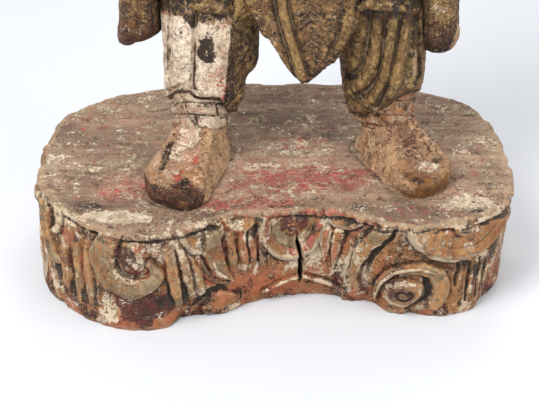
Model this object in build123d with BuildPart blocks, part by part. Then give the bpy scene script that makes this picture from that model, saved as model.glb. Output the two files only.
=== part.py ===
from build123d import *
import os
from math import cos, radians, sin

# Carved wooden ancestor figure standing on a scrolled plinth, in millimetres.
#
# The figure is built up the way a large temple carving is: plinth, shoes, legs, coat, torso, arms,
# sleeves, hands, head and hat are separate blocks, joined by hardwood tenons, dowels and pegs.
# A cavity in the back holds a dedication scroll and an offering bundle, behind a cover that pulls
# straight out backwards.
#
# Frame: +Z up, the figure faces -Y, the origin is at the middle of the plinth's underside.
# "right" and "left" are the figure's own, so its right side is at -X.

# ---------------------------------------------------------------- driving dimensions
sides = {"right": -1, "left": 1}
figure_x = 16.0  # the figure stands a little to its own left of the plinth's middle
figure_y = 8.0
fit_gap = 0.1  # a glued mortise is this much larger than its tenon, each way
cover_gap = 0.25  # the back cover slides, so it has more room

# plinth: plan of the top edge, from the front middle round by the figure's left
plinth_height = 98.0
plinth_top = [(25, -100), (62, -107), (108, -127), (150, -118), (187, -90), (200, -30), (196, 50)]
plinth_top += [(168, 106), (110, 130), (25, 141), (-70, 134), (-140, 116), (-185, 78), (-200, 15)]
plinth_top += [(-197, -50), (-162, -108), (-128, -135), (-88, -140), (-45, -116)]
# plan of its underside, the same way round: the wall leans in at the front and back
plinth_foot = [(25, -84), (62, -90), (104, -109), (148, -107), (183, -76), (199, -28), (195, 48)]
plinth_foot += [(166, 102), (108, 125), (25, 135), (-70, 129), (-138, 112), (-182, 76), (-197, 12)]
plinth_foot += [(-197, -64), (-166, -104), (-126, -128), (-88, -126), (-42, -103)]
crack_x = 23.0  # drying crack in the front wall
crack_width = 2.6
crack_depth = 30.0
crack_bottom = 20.0
crack_height = 42.0

# shoes
joint_z = 129.0  # shoe meets trouser leg
ankle_x = {"right": -62.0, "left": 93.0}
ankle_y = {"right": -8.0, "left": 0.0}
shoe_turn = {"right": 14.0, "left": 22.0}  # the toes point outwards by this many degrees
shoe_length = {"right": 122.0, "left": 114.0}
shoe_width = 52.0
sole_height = 11.0
heel_overhang = 30.0  # heel behind the ankle's axis
ankle_width = 44.0
ankle_depth = 50.0

# trouser legs: height, middle moved inwards and backwards from the ankle, half width, half depth
hip_z = 230.0
leg_sections = [(joint_z, 0.0, 0.0, 24.0, 25.0), (142.0, 1.0, 1.0, 29.0, 29.0)]
leg_sections += [(165.0, 3.0, 4.0, 34.5, 33.0), (195.0, 5.0, 7.0, 36.0, 34.0)]
leg_sections += [(hip_z, 8.0, 10.0, 35.0, 34.0)]

# coat skirt, apron: height, half width, half depth
waist_z = 360.0
skirt_sections = [(hip_z, 108.0, 54.0), (283.0, 92.0, 51.0), (328.0, 72.0, 45.0), (waist_z, 66.0, 42.0)]
tail_drop = 24.0  # the coat hangs lower behind the legs
tail_half_width = 108.0
tail_half_depth = 56.0
tail_thickness = 16.0
apron_back = -31.0
apron_thickness = 11.0
apron_tip_x = 23.0
apron_tip_z = 177.0
apron_top_z = 326.0
apron_seat_width = 98.0
# apron outline from its tip
apron_outline = [(-2, 1), (3, 0), (29, 27), (42, 49), (40, 90)]
apron_outline += [(30, 149), (-44, 149), (-50, 90), (-45, 68), (-30, 45)]

# torso and the cavity in its back: height, half width, half depth
torso_sections = [(waist_z, 66.0, 42.0), (393.0, 70.0, 44.0), (438.0, 80.0, 50.0)]
torso_sections += [(476.0, 82.0, 46.0), (500.0, 66.0, 36.0), (516.0, 26.0, 25.0)]
cavity_width = 48.0
cavity_height = 66.0
cavity_floor_z = 402.0
cavity_front_y = 12.0
cover_rim = 6.0
cover_inner_y = 46.0
cover_corner = 8.0
scroll_radius = 6.5
scroll_bore = 3.0
scroll_height = 58.0
bundle_width = 22.0
bundle_depth = 20.0
bundle_height = 30.0
content_y = 28.0  # the scroll and the bundle stand side by side on the cavity's floor

# arms, sleeves and hands: distance from the figure's middle, y, height
shoulder = (72.0, 10.0, 478.0)
elbow = (108.0, 22.0, 410.0)
wrist = (64.0, -56.0, 404.0)
knuckles = (40.0, -76.0, 406.0)
shoulder_radius = 29.0
elbow_radius = 24.0
cuff_radius = 21.0
wrist_radius = 11.0
hand_half_width = 15.0
hand_half_height = 18.0
finger_length = 10.0
# hanging sleeves: height, middle from the figure's middle, middle y, width, depth
sleeve_sections = [(410.0, 98.0, -4.0, 26.0, 96.0), (308.0, 118.0, 6.0, 27.0, 84.0)]
sleeve_sections += [(188.0, 124.0, 14.0, 36.0, 58.0)]
sleeve_shift = {"right": 4.0, "left": -5.0}  # the right one hangs further out

# head and hat: height, half width, half depth, forward shift
neck_z = 516.0
crown_z = 596.0
head_sections = [(neck_z, 19.0, 20.0, 0.0), (528.0, 22.0, 25.0, -3.0), (542.0, 31.0, 37.0, -5.0)]
head_sections += [(568.0, 37.0, 43.0, -3.0), (crown_z, 36.0, 43.0, -1.0)]
neck_plug_radius = 15.0
neck_plug_depth = 30.0
hat_top_z = 648.0
hat_sections = [(crown_z, 46.0, 52.0), (604.0, 47.0, 53.0), (608.0, 41.0, 46.0)]
hat_sections += [(630.0, 36.0, 40.0), (hat_top_z, 18.0, 20.0)]
finial_radius = 10.0
finial_neck_radius = 6.0
finial_height = 24.0
spigot_radius = 3.5
spigot_depth = 14.0

# joinery
leg_tenon_width = 18.0
leg_tenon_depth = 14.0
leg_tenon_bottom = 66.0
leg_tenon_top = 160.0
hip_dowel_radius = 8.0
hip_dowel_bottom = 204.0
hip_dowel_top = 258.0
apron_peg_radius = 3.5
apron_peg_length = 32.0
apron_peg_heights = (260.0, 300.0)
waist_tenon_width = 44.0
waist_tenon_depth = 30.0
waist_tenon_bottom = 334.0
waist_tenon_top = 386.0
shoulder_dowel_radius = 5.0
shoulder_dowel_length = 44.0
shoulder_dowel_heights = (478.0, 452.0)
sleeve_peg_radius = 4.0
sleeve_peg_bottom = 360.0
sleeve_peg_top = 412.0
wrist_dowel_radius = 4.0
wrist_dowel_length = 30.0
hat_peg_radius = 5.0
hat_peg_bottom = 574.0
hat_peg_top = 620.0


# ---------------------------------------------------------------- places and joints
# Each joint function works on the part being built. It adds the tenon or dowel itself when gap
# is 0, and with Mode.SUBTRACT and fit_gap it cuts the hole that takes it.
def beside(point, side):
    """A point given from the figure's middle, on the named side of it."""
    return Vector(figure_x + sides[side] * point[0], point[1], point[2])


def round_bar(start, direction, radius, length, mode):
    with BuildSketch(Plane(origin=start, z_dir=direction)) as profile:
        Circle(radius)
    extrude(profile.sketch, amount=length, mode=mode)


def square_post(start, width, depth, length, mode):
    with BuildSketch(Plane(origin=start)) as profile:
        Rectangle(width, depth)
    extrude(profile.sketch, amount=length, mode=mode)


def leg_tenon(side, mode=Mode.ADD, gap=0.0):
    """Long tenon from the plinth through the shoe into the trouser leg."""
    start = (ankle_x[side], ankle_y[side], leg_tenon_bottom - gap)
    length = leg_tenon_top - leg_tenon_bottom + 2 * gap
    square_post(start, leg_tenon_width + 2 * gap, leg_tenon_depth + 2 * gap, length, mode)


def hip_dowel(side, mode=Mode.ADD, gap=0.0):
    """Dowel from the top of the trouser leg into the coat."""
    start = (ankle_x[side] - sides[side] * leg_sections[-1][1], figure_y, hip_dowel_bottom - gap)
    length = hip_dowel_top - hip_dowel_bottom + 2 * gap
    round_bar(start, (0, 0, 1), hip_dowel_radius + gap, length, mode)


def apron_peg(height, mode=Mode.ADD, gap=0.0):
    """Peg from the back of the apron into the coat."""
    start = (figure_x + 4, apron_back - apron_thickness / 2 - gap, height)
    round_bar(start, (0, 1, 0), apron_peg_radius + gap, apron_peg_length + 2 * gap, mode)


def waist_tenon(mode=Mode.ADD, gap=0.0):
    """Square tenon that sets the torso on the coat."""
    start = (figure_x, figure_y - 4, waist_tenon_bottom - gap)
    length = waist_tenon_top - waist_tenon_bottom + 2 * gap
    square_post(start, waist_tenon_width + 2 * gap, waist_tenon_depth + 2 * gap, length, mode)


def shoulder_dowel(side, height, mode=Mode.ADD, gap=0.0):
    """Level dowel from the torso into the upper arm."""
    start = beside((shoulder[0] - 18 - gap, shoulder[1], height), side)
    length = shoulder_dowel_length + 2 * gap
    round_bar(start, (sides[side], 0, 0), shoulder_dowel_radius + gap, length, mode)


def sleeve_peg(side, mode=Mode.ADD, gap=0.0):
    """Upright peg from the hanging sleeve into the forearm."""
    start = beside((elbow[0] - 6, elbow[1] - 10, sleeve_peg_bottom - gap), side)
    length = sleeve_peg_top - sleeve_peg_bottom + 2 * gap
    round_bar(start, (0, 0, 1), sleeve_peg_radius + gap, length, mode)


def wrist_dowel(side, mode=Mode.ADD, gap=0.0):
    """Dowel along the wrist that holds the hand in the cuff."""
    axis = (beside(knuckles, side) - beside(wrist, side)).normalized()
    start = beside(wrist, side) - axis * (wrist_dowel_length / 2 + gap)
    round_bar(start, axis, wrist_dowel_radius + gap, wrist_dowel_length + 2 * gap, mode)


def hat_peg(mode=Mode.ADD, gap=0.0):
    """Upright peg that holds the hat on the crown of the head."""
    start = (figure_x, figure_y, hat_peg_bottom - gap)
    round_bar(start, (0, 0, 1), hat_peg_radius + gap, hat_peg_top - hat_peg_bottom + 2 * gap, mode)


os.makedirs("parts", exist_ok=True)

# ---------------------------------------------------------------- plinth
with BuildPart() as base_block:
    for height, outline in ((0.0, plinth_foot), (plinth_height, plinth_top)):
        with BuildSketch(Plane.XY.offset(height)):
            with BuildLine():
                Spline(*outline, periodic=True)
            make_face()
    loft()
    with BuildSketch(Plane(origin=(crack_x, -104, crack_bottom))):
        Rectangle(crack_width, 2 * crack_depth)
    extrude(amount=crack_height, mode=Mode.SUBTRACT)
    for side in sides:
        leg_tenon(side, Mode.SUBTRACT, fit_gap)
base_block.part.label = "base_block"
export_step(base_block.part, "parts/base_block.step")

with BuildPart() as leg_tenons:
    for side in sides:
        leg_tenon(side)
leg_tenons.part.label = "leg_tenons"
export_step(leg_tenons.part, "parts/leg_tenons.step")

# ---------------------------------------------------------------- shoes and trouser legs
legs = {}
for side in sides:
    turn = radians(shoe_turn[side])
    toe_way = Vector(sides[side] * sin(turn), -cos(turn), 0)
    ankle = Vector(ankle_x[side], ankle_y[side], plinth_height)
    sole = Plane(ankle + toe_way * (shoe_length[side] / 2 - heel_overhang), x_dir=toe_way, z_dir=(0, 0, 1))
    ankle_top = Plane(ankle + Vector(0, 0, joint_z - plinth_height), x_dir=toe_way, z_dir=(0, 0, 1))

    with BuildPart() as shoe:
        with BuildSketch(sole):
            SlotOverall(shoe_length[side] - 2, shoe_width - 3)
        with BuildSketch(sole.offset(sole_height)):
            SlotOverall(shoe_length[side], shoe_width)
        loft()
        with BuildSketch(sole.offset(sole_height)):
            SlotOverall(shoe_length[side], shoe_width)
        with BuildSketch(ankle_top):
            SlotOverall(ankle_depth, ankle_width)
        loft()
        leg_tenon(side, Mode.SUBTRACT, fit_gap)
    shoe.part.label = f"{side}_shoe"
    export_step(shoe.part, f"parts/{side}_shoe.step")

    with BuildPart() as leg:
        for height, inwards, back, half_width, half_depth in leg_sections:
            middle_x = ankle_x[side] - sides[side] * inwards
            with BuildSketch(Plane(origin=(middle_x, ankle_y[side] + back, height))):
                Ellipse(half_width, half_depth)
        loft()
        leg_tenon(side, Mode.SUBTRACT, fit_gap)
        hip_dowel(side, Mode.SUBTRACT, fit_gap)
    leg.part.label = f"{side}_leg"
    export_step(leg.part, f"parts/{side}_leg.step")
    legs[side] = leg.part

with BuildPart() as hip_dowels:
    for side in sides:
        hip_dowel(side)
hip_dowels.part.label = "hip_dowels"
export_step(hip_dowels.part, "parts/hip_dowels.step")

# ---------------------------------------------------------------- coat skirt and apron
with BuildPart() as coat_skirt:
    for height, half_width, half_depth in skirt_sections:
        with BuildSketch(Plane(origin=(figure_x, figure_y, height))):
            Ellipse(half_width, half_depth)
    loft()
    with BuildSketch(Plane(origin=(figure_x, figure_y, hip_z - tail_drop))):
        Ellipse(tail_half_width, tail_half_depth)
        Ellipse(tail_half_width - tail_thickness, tail_half_depth - tail_thickness, mode=Mode.SUBTRACT)
        with Locations((0, -tail_half_depth)):
            Rectangle(3 * tail_half_width, 3 * tail_half_depth, mode=Mode.SUBTRACT)
    extrude(amount=tail_drop + 8)
    # the flat seat that the apron is pegged to
    with BuildSketch(Plane(origin=(figure_x, apron_back - 30, hip_z - 10))):
        Rectangle(apron_seat_width, 60)
    extrude(amount=apron_top_z - hip_z + 20, mode=Mode.SUBTRACT)
    for side in sides:
        add(legs[side], mode=Mode.SUBTRACT)
        hip_dowel(side, Mode.SUBTRACT, fit_gap)
    for height in apron_peg_heights:
        apron_peg(height, Mode.SUBTRACT, fit_gap)
    waist_tenon(Mode.SUBTRACT, fit_gap)
coat_skirt.part.label = "coat_skirt"
export_step(coat_skirt.part, "parts/coat_skirt.step")

with BuildPart() as apron_panel:
    with BuildSketch(Plane(origin=(apron_tip_x, apron_back, apron_tip_z), x_dir=(1, 0, 0), z_dir=(0, -1, 0))):
        with BuildLine():
            Polyline(*apron_outline, close=True)
        make_face()
    extrude(amount=apron_thickness)
    for height in apron_peg_heights:
        apron_peg(height, Mode.SUBTRACT, fit_gap)
apron_panel.part.label = "apron_panel"
export_step(apron_panel.part, "parts/apron_panel.step")

with BuildPart() as apron_pegs:
    for height in apron_peg_heights:
        apron_peg(height)
apron_pegs.part.label = "apron_pegs"
export_step(apron_pegs.part, "parts/apron_pegs.step")

with BuildPart() as waist_block:
    waist_tenon()
waist_block.part.label = "waist_tenon"
export_step(waist_block.part, "parts/waist_tenon.step")

# ---------------------------------------------------------------- torso, cavity and its contents
with BuildPart() as torso_form:
    for height, half_width, half_depth in torso_sections:
        with BuildSketch(Plane(origin=(figure_x, figure_y, height))):
            Ellipse(half_width, half_depth)
    loft()

cavity_middle = (figure_x, cover_inner_y, cavity_floor_z + cavity_height / 2)
cavity_mouth = Plane(origin=cavity_middle, x_dir=(1, 0, 0), z_dir=(0, -1, 0))
rebate_width = cavity_width + 2 * cover_rim
rebate_height = cavity_height + 2 * cover_rim

with BuildPart() as torso:
    add(torso_form.part)
    with BuildSketch(cavity_mouth):
        RectangleRounded(cavity_width, cavity_height, cover_corner - 2)
    extrude(amount=cover_inner_y - cavity_front_y, mode=Mode.SUBTRACT)
    with BuildSketch(cavity_mouth):
        RectangleRounded(rebate_width, rebate_height, cover_corner)
    extrude(amount=-60, mode=Mode.SUBTRACT)
    waist_tenon(Mode.SUBTRACT, fit_gap)
    for side in sides:
        for height in shoulder_dowel_heights:
            shoulder_dowel(side, height, Mode.SUBTRACT, fit_gap)
    plug_hole_start = (figure_x, figure_y, neck_z - neck_plug_depth - fit_gap)
    round_bar(plug_hole_start, (0, 0, 1), neck_plug_radius + fit_gap, 60, Mode.SUBTRACT)
torso.part.label = "torso"
export_step(torso.part, "parts/torso.step")

with BuildPart() as cavity_cover:
    with BuildSketch(cavity_mouth):
        RectangleRounded(rebate_width - 2 * cover_gap, rebate_height - 2 * cover_gap, cover_corner)
    extrude(amount=-60)
    add(torso_form.part, mode=Mode.INTERSECT)
cavity_cover.part.label = "cavity_cover"
export_step(cavity_cover.part, "parts/cavity_cover.step")

with BuildPart() as dedication_scroll:
    with BuildSketch(Plane(origin=(figure_x - 12, content_y, cavity_floor_z))):
        Circle(scroll_radius)
        Circle(scroll_bore, mode=Mode.SUBTRACT)
    extrude(amount=scroll_height)
dedication_scroll.part.label = "dedication_scroll"
export_step(dedication_scroll.part, "parts/dedication_scroll.step")

with BuildPart() as offering_bundle:
    with BuildSketch(Plane(origin=(figure_x + 10, content_y, cavity_floor_z))):
        Rectangle(bundle_width, bundle_depth)
    extrude(amount=bundle_height)
    fillet(offering_bundle.edges(), radius=5)
offering_bundle.part.label = "offering_bundle"
export_step(offering_bundle.part, "parts/offering_bundle.step")

# ---------------------------------------------------------------- arms, hands and hanging sleeves
for side in sides:
    shoulder_at = beside(shoulder, side)
    elbow_at = beside(elbow, side)
    wrist_at = beside(wrist, side)
    knuckles_at = beside(knuckles, side)
    hand_axis = (knuckles_at - wrist_at).normalized()

    with BuildPart() as arm:
        for start, end, start_radius, end_radius in (
            (shoulder_at, elbow_at, shoulder_radius, elbow_radius),
            (elbow_at, wrist_at, elbow_radius, cuff_radius),
        ):
            with BuildSketch(Plane(origin=start, z_dir=end - start)):
                Circle(start_radius)
            with BuildSketch(Plane(origin=end, z_dir=end - start)):
                Circle(end_radius)
            loft()
            with Locations(start):
                Sphere(start_radius)
        add(torso_form.part, mode=Mode.SUBTRACT)
        for height in shoulder_dowel_heights:
            shoulder_dowel(side, height, Mode.SUBTRACT, fit_gap)
        sleeve_peg(side, Mode.SUBTRACT, fit_gap)
        wrist_dowel(side, Mode.SUBTRACT, fit_gap)
    arm.part.label = f"{side}_arm"
    export_step(arm.part, f"parts/{side}_arm.step")

    with BuildPart() as hand:
        for reach, half_width, half_height in (
            (0.0, wrist_radius, wrist_radius),
            (10.0, hand_half_width, hand_half_height),
            ((knuckles_at - wrist_at).length, hand_half_width, hand_half_height),
            ((knuckles_at - wrist_at).length + finger_length, hand_half_width / 2, hand_half_height * 0.7),
        ):
            with BuildSketch(Plane(origin=wrist_at + hand_axis * reach, z_dir=hand_axis)):
                Ellipse(half_width, half_height)
        loft()
        add(arm.part, mode=Mode.SUBTRACT)
        wrist_dowel(side, Mode.SUBTRACT, fit_gap)
    hand.part.label = f"{side}_hand"
    export_step(hand.part, f"parts/{side}_hand.step")

    with BuildPart() as sleeve:
        for height, middle, middle_y, width, depth in sleeve_sections:
            with BuildSketch(Plane(origin=beside((middle + sleeve_shift[side], middle_y, height), side))):
                RectangleRounded(width, depth, width / 2.5)
        loft()
        for neighbour in (arm.part, coat_skirt.part, torso_form.part, legs[side]):
            add(neighbour, mode=Mode.SUBTRACT)
        sleeve_peg(side, Mode.SUBTRACT, fit_gap)
    sleeve.part.label = f"{side}_sleeve"
    export_step(sleeve.part, f"parts/{side}_sleeve.step")

with BuildPart() as shoulder_dowels:
    for side in sides:
        for height in shoulder_dowel_heights:
            shoulder_dowel(side, height)
shoulder_dowels.part.label = "shoulder_dowels"
export_step(shoulder_dowels.part, "parts/shoulder_dowels.step")

with BuildPart() as sleeve_pegs:
    for side in sides:
        sleeve_peg(side)
sleeve_pegs.part.label = "sleeve_pegs"
export_step(sleeve_pegs.part, "parts/sleeve_pegs.step")

with BuildPart() as wrist_dowels:
    for side in sides:
        wrist_dowel(side)
wrist_dowels.part.label = "wrist_dowels"
export_step(wrist_dowels.part, "parts/wrist_dowels.step")

# ---------------------------------------------------------------- head and hat
with BuildPart() as head:
    for height, half_width, half_depth, shift_y in head_sections:
        with BuildSketch(Plane(origin=(figure_x, figure_y + shift_y, height))):
            Ellipse(half_width, half_depth)
    loft()
    plug_start = (figure_x, figure_y, neck_z - neck_plug_depth)
    round_bar(plug_start, (0, 0, 1), neck_plug_radius, neck_plug_depth + 2, Mode.ADD)
    hat_peg(Mode.SUBTRACT, fit_gap)
head.part.label = "head"
export_step(head.part, "parts/head.step")

with BuildPart() as hat:
    for height, half_width, half_depth in hat_sections:
        with BuildSketch(Plane(origin=(figure_x, figure_y, height))):
            Ellipse(half_width, half_depth)
    loft(ruled=True)
    hat_peg(Mode.SUBTRACT, fit_gap)
    spigot_hole_start = (figure_x, figure_y, hat_top_z - spigot_depth - fit_gap)
    round_bar(spigot_hole_start, (0, 0, 1), spigot_radius + fit_gap, 30, Mode.SUBTRACT)
hat.part.label = "hat"
export_step(hat.part, "parts/hat.step")

with BuildPart() as hat_pin:
    hat_peg()
hat_pin.part.label = "hat_peg"
export_step(hat_pin.part, "parts/hat_peg.step")

with BuildPart() as hat_finial:
    spigot_start = (figure_x, figure_y, hat_top_z - spigot_depth)
    round_bar(spigot_start, (0, 0, 1), spigot_radius, spigot_depth + 2, Mode.ADD)
    round_bar((figure_x, figure_y, hat_top_z), (0, 0, 1), finial_neck_radius, finial_height / 2, Mode.ADD)
    with Locations((figure_x, figure_y, hat_top_z + finial_height - finial_radius)):
        Sphere(finial_radius)
hat_finial.part.label = "hat_finial"
export_step(hat_finial.part, "parts/hat_finial.step")
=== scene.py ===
import math

import bpy
import numpy as np
import openvdb
from mathutils.geometry import delaunay_2d_cdt
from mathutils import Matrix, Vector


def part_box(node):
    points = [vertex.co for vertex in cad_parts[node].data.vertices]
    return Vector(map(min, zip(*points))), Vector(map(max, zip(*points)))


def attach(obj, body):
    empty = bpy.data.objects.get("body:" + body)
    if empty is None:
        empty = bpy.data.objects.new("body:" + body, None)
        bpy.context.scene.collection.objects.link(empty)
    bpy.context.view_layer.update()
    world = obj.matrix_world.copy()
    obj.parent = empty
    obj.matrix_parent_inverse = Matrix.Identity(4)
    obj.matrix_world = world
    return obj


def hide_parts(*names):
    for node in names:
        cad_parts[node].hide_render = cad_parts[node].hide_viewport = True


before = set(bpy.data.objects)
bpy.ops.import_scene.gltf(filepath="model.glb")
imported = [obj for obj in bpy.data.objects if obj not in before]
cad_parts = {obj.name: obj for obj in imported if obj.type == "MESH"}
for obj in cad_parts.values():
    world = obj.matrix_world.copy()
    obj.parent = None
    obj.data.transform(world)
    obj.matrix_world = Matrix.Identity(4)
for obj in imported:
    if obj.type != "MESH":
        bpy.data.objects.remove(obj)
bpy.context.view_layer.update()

# Shapes are worked out in millimetres, in the CAD's frame: the figure faces -Y, and "right" and
# "left" are its own, so its right side is at -X. A mesh is scaled to metres when it is made.
MM = 0.001
COARSE = 1.0


def box_mm(node):
    """Lowest and highest corner of a CAD node, in millimetres."""
    low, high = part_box(node)
    return np.array(low) / MM, np.array(high) / MM


# ---------------------------------------------------------------- noise and small maths
def lattice(seed):
    return np.random.default_rng(seed).random((32, 32, 32)).astype(np.float32)


def noise(x, y, z, seed, size=1.0):
    """Smooth value noise from -1 to 1; size is the width of a lump, in mm."""
    table = lattice(seed)
    cells, weights = [], []
    for value in (x, y, z):
        scaled = np.asarray(value, np.float32) / size + 100.0
        whole = np.floor(scaled).astype(np.int32)
        part = scaled - whole
        cells.append((whole % 32, (whole + 1) % 32))
        weights.append(part * part * (3 - 2 * part))
    total = 0.0
    for i in (0, 1):
        for j in (0, 1):
            for k in (0, 1):
                share = 1.0
                for pick, weight in zip((i, j, k), weights):
                    share = share * (weight if pick else 1 - weight)
                total = total + share * table[cells[0][i], cells[1][j], cells[2][k]]
    return total * 2 - 1


def rough(x, y, z, seed, size):
    """Three octaves of noise, each half the size and strength of the one before."""
    return sum(noise(x, y, z, seed + n, size / 2**n) / 2**n for n in range(3))


def step(low, high, value):
    """Smooth step from 0 at low to 1 at high."""
    t = np.clip((value - low) / (high - low), 0, 1)
    return t * t * (3 - 2 * t)


def curve(points, count=28):
    """A smooth line through the given points, as evenly spaced samples."""
    points = np.array(points, float)
    if len(points) == 2:
        return points[0] + (points[1] - points[0]) * np.linspace(0, 1, count)[:, None]
    ends = np.vstack([2 * points[0] - points[1], points, 2 * points[-1] - points[-2]])
    place = np.linspace(0, len(points) - 1 - 1e-6, count)
    index = place.astype(int)
    t = (place - index)[:, None]
    a, b, c, d = (ends[index + n] for n in range(4))
    return 0.5 * (2 * b + (c - a) * t + (2 * a - 5 * b + 4 * c - d) * t**2 + (3 * b - a - 3 * c + d) * t**3)


# ---------------------------------------------------------------- meshes
HOLLOW_ROUNDS = 3  # how often the hollows are smoothed over their neighbours


def make_piece(name, node, verts, faces, body="figure"):
    """Makes a mesh object from millimetres, which stands for a CAD node and rides on its body."""
    mesh = bpy.data.meshes.new(name)
    mesh.from_pydata((verts * MM).tolist(), [], faces)
    mesh.validate()
    mesh.shade_smooth()
    piece = bpy.data.objects.new(name, mesh)
    bpy.context.scene.collection.objects.link(piece)
    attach(piece, body)
    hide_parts(node)
    return piece


def vertices_mm(piece):
    flat = np.empty(len(piece.data.vertices) * 3)
    piece.data.vertices.foreach_get("co", flat)
    return flat.reshape(-1, 3) / MM


def set_layer(piece, name, values):
    """Stores one paint layer's cover, 0 to 1, on the mesh's points."""
    values = np.broadcast_to(np.clip(values, 0, 1), len(piece.data.vertices))
    attribute = piece.data.attributes.new(name, "FLOAT", "POINT")
    attribute.data.foreach_set("value", np.ascontiguousarray(values, np.float32))


def set_hollows(piece):
    """Stores how hollow the surface is at each point: 0.5 is flat, 1 a groove, 0 a raised, worn edge; the
    paints lay painted shade in the grooves and a painted highlight on the edges from it.
    """
    mesh = piece.data
    edges = np.empty(len(mesh.edges) * 2, np.int64)
    mesh.edges.foreach_get("vertices", edges)
    a, b = edges.reshape(-1, 2).T
    points = vertices_mm(piece)
    normals = np.empty(len(mesh.vertices) * 3)
    mesh.vertices.foreach_get("normal", normals)
    count = np.maximum(np.bincount(a, minlength=len(points)) + np.bincount(b, minlength=len(points)), 1)

    def neighbours(values):
        out = np.bincount(a, values[b], len(points)) + np.bincount(b, values[a], len(points))
        return out / count

    around = np.stack([neighbours(points[:, axis]) for axis in range(3)], axis=1)
    bend = ((around - points) * normals.reshape(-1, 3)).sum(1)
    for _ in range(HOLLOW_ROUNDS):
        bend = 0.5 * bend + 0.5 * neighbours(bend)
    set_layer(piece, "hollow", 0.5 + bend * 3.0)


# ---------------------------------------------------------------- plinth
TOP_Z = box_mm("base_block")[1][2]
DETAILED = 285.0  # the carved front reaches this far each way round from its middle
LAYERS_ON_PLINTH = ("wash", "soot_and_shadow", "gesso", "red", "orange", "ochre", "olive", "dark", "maroon", "cream")
GROUND = -1.5  # the relief's ground lies this far behind the CAD's plain wall


def plinth_outline(height):
    """Radius of the CAD plinth's outline at a height, for each of many directions."""
    co = vertices_mm(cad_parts["base_block"])
    ring = co[abs(co[:, 2] - height) < 0.1]
    low, high = box_mm("leg_tenons")
    for centre_x in (low[0] + 9, high[0] - 9):
        ring = ring[np.hypot(ring[:, 0] - centre_x, ring[:, 1] - (low[1] + high[1]) / 2) > 16]
    angle = np.arctan2(ring[:, 1], ring[:, 0])
    order = np.argsort(angle)
    directions = np.linspace(-math.pi, math.pi, 2881)
    radius = np.interp(directions, angle[order], np.hypot(ring[:, 0], ring[:, 1])[order],
                       period=2 * math.pi)
    return np.stack([radius * np.cos(directions), radius * np.sin(directions)], axis=1)[:-1]


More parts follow.
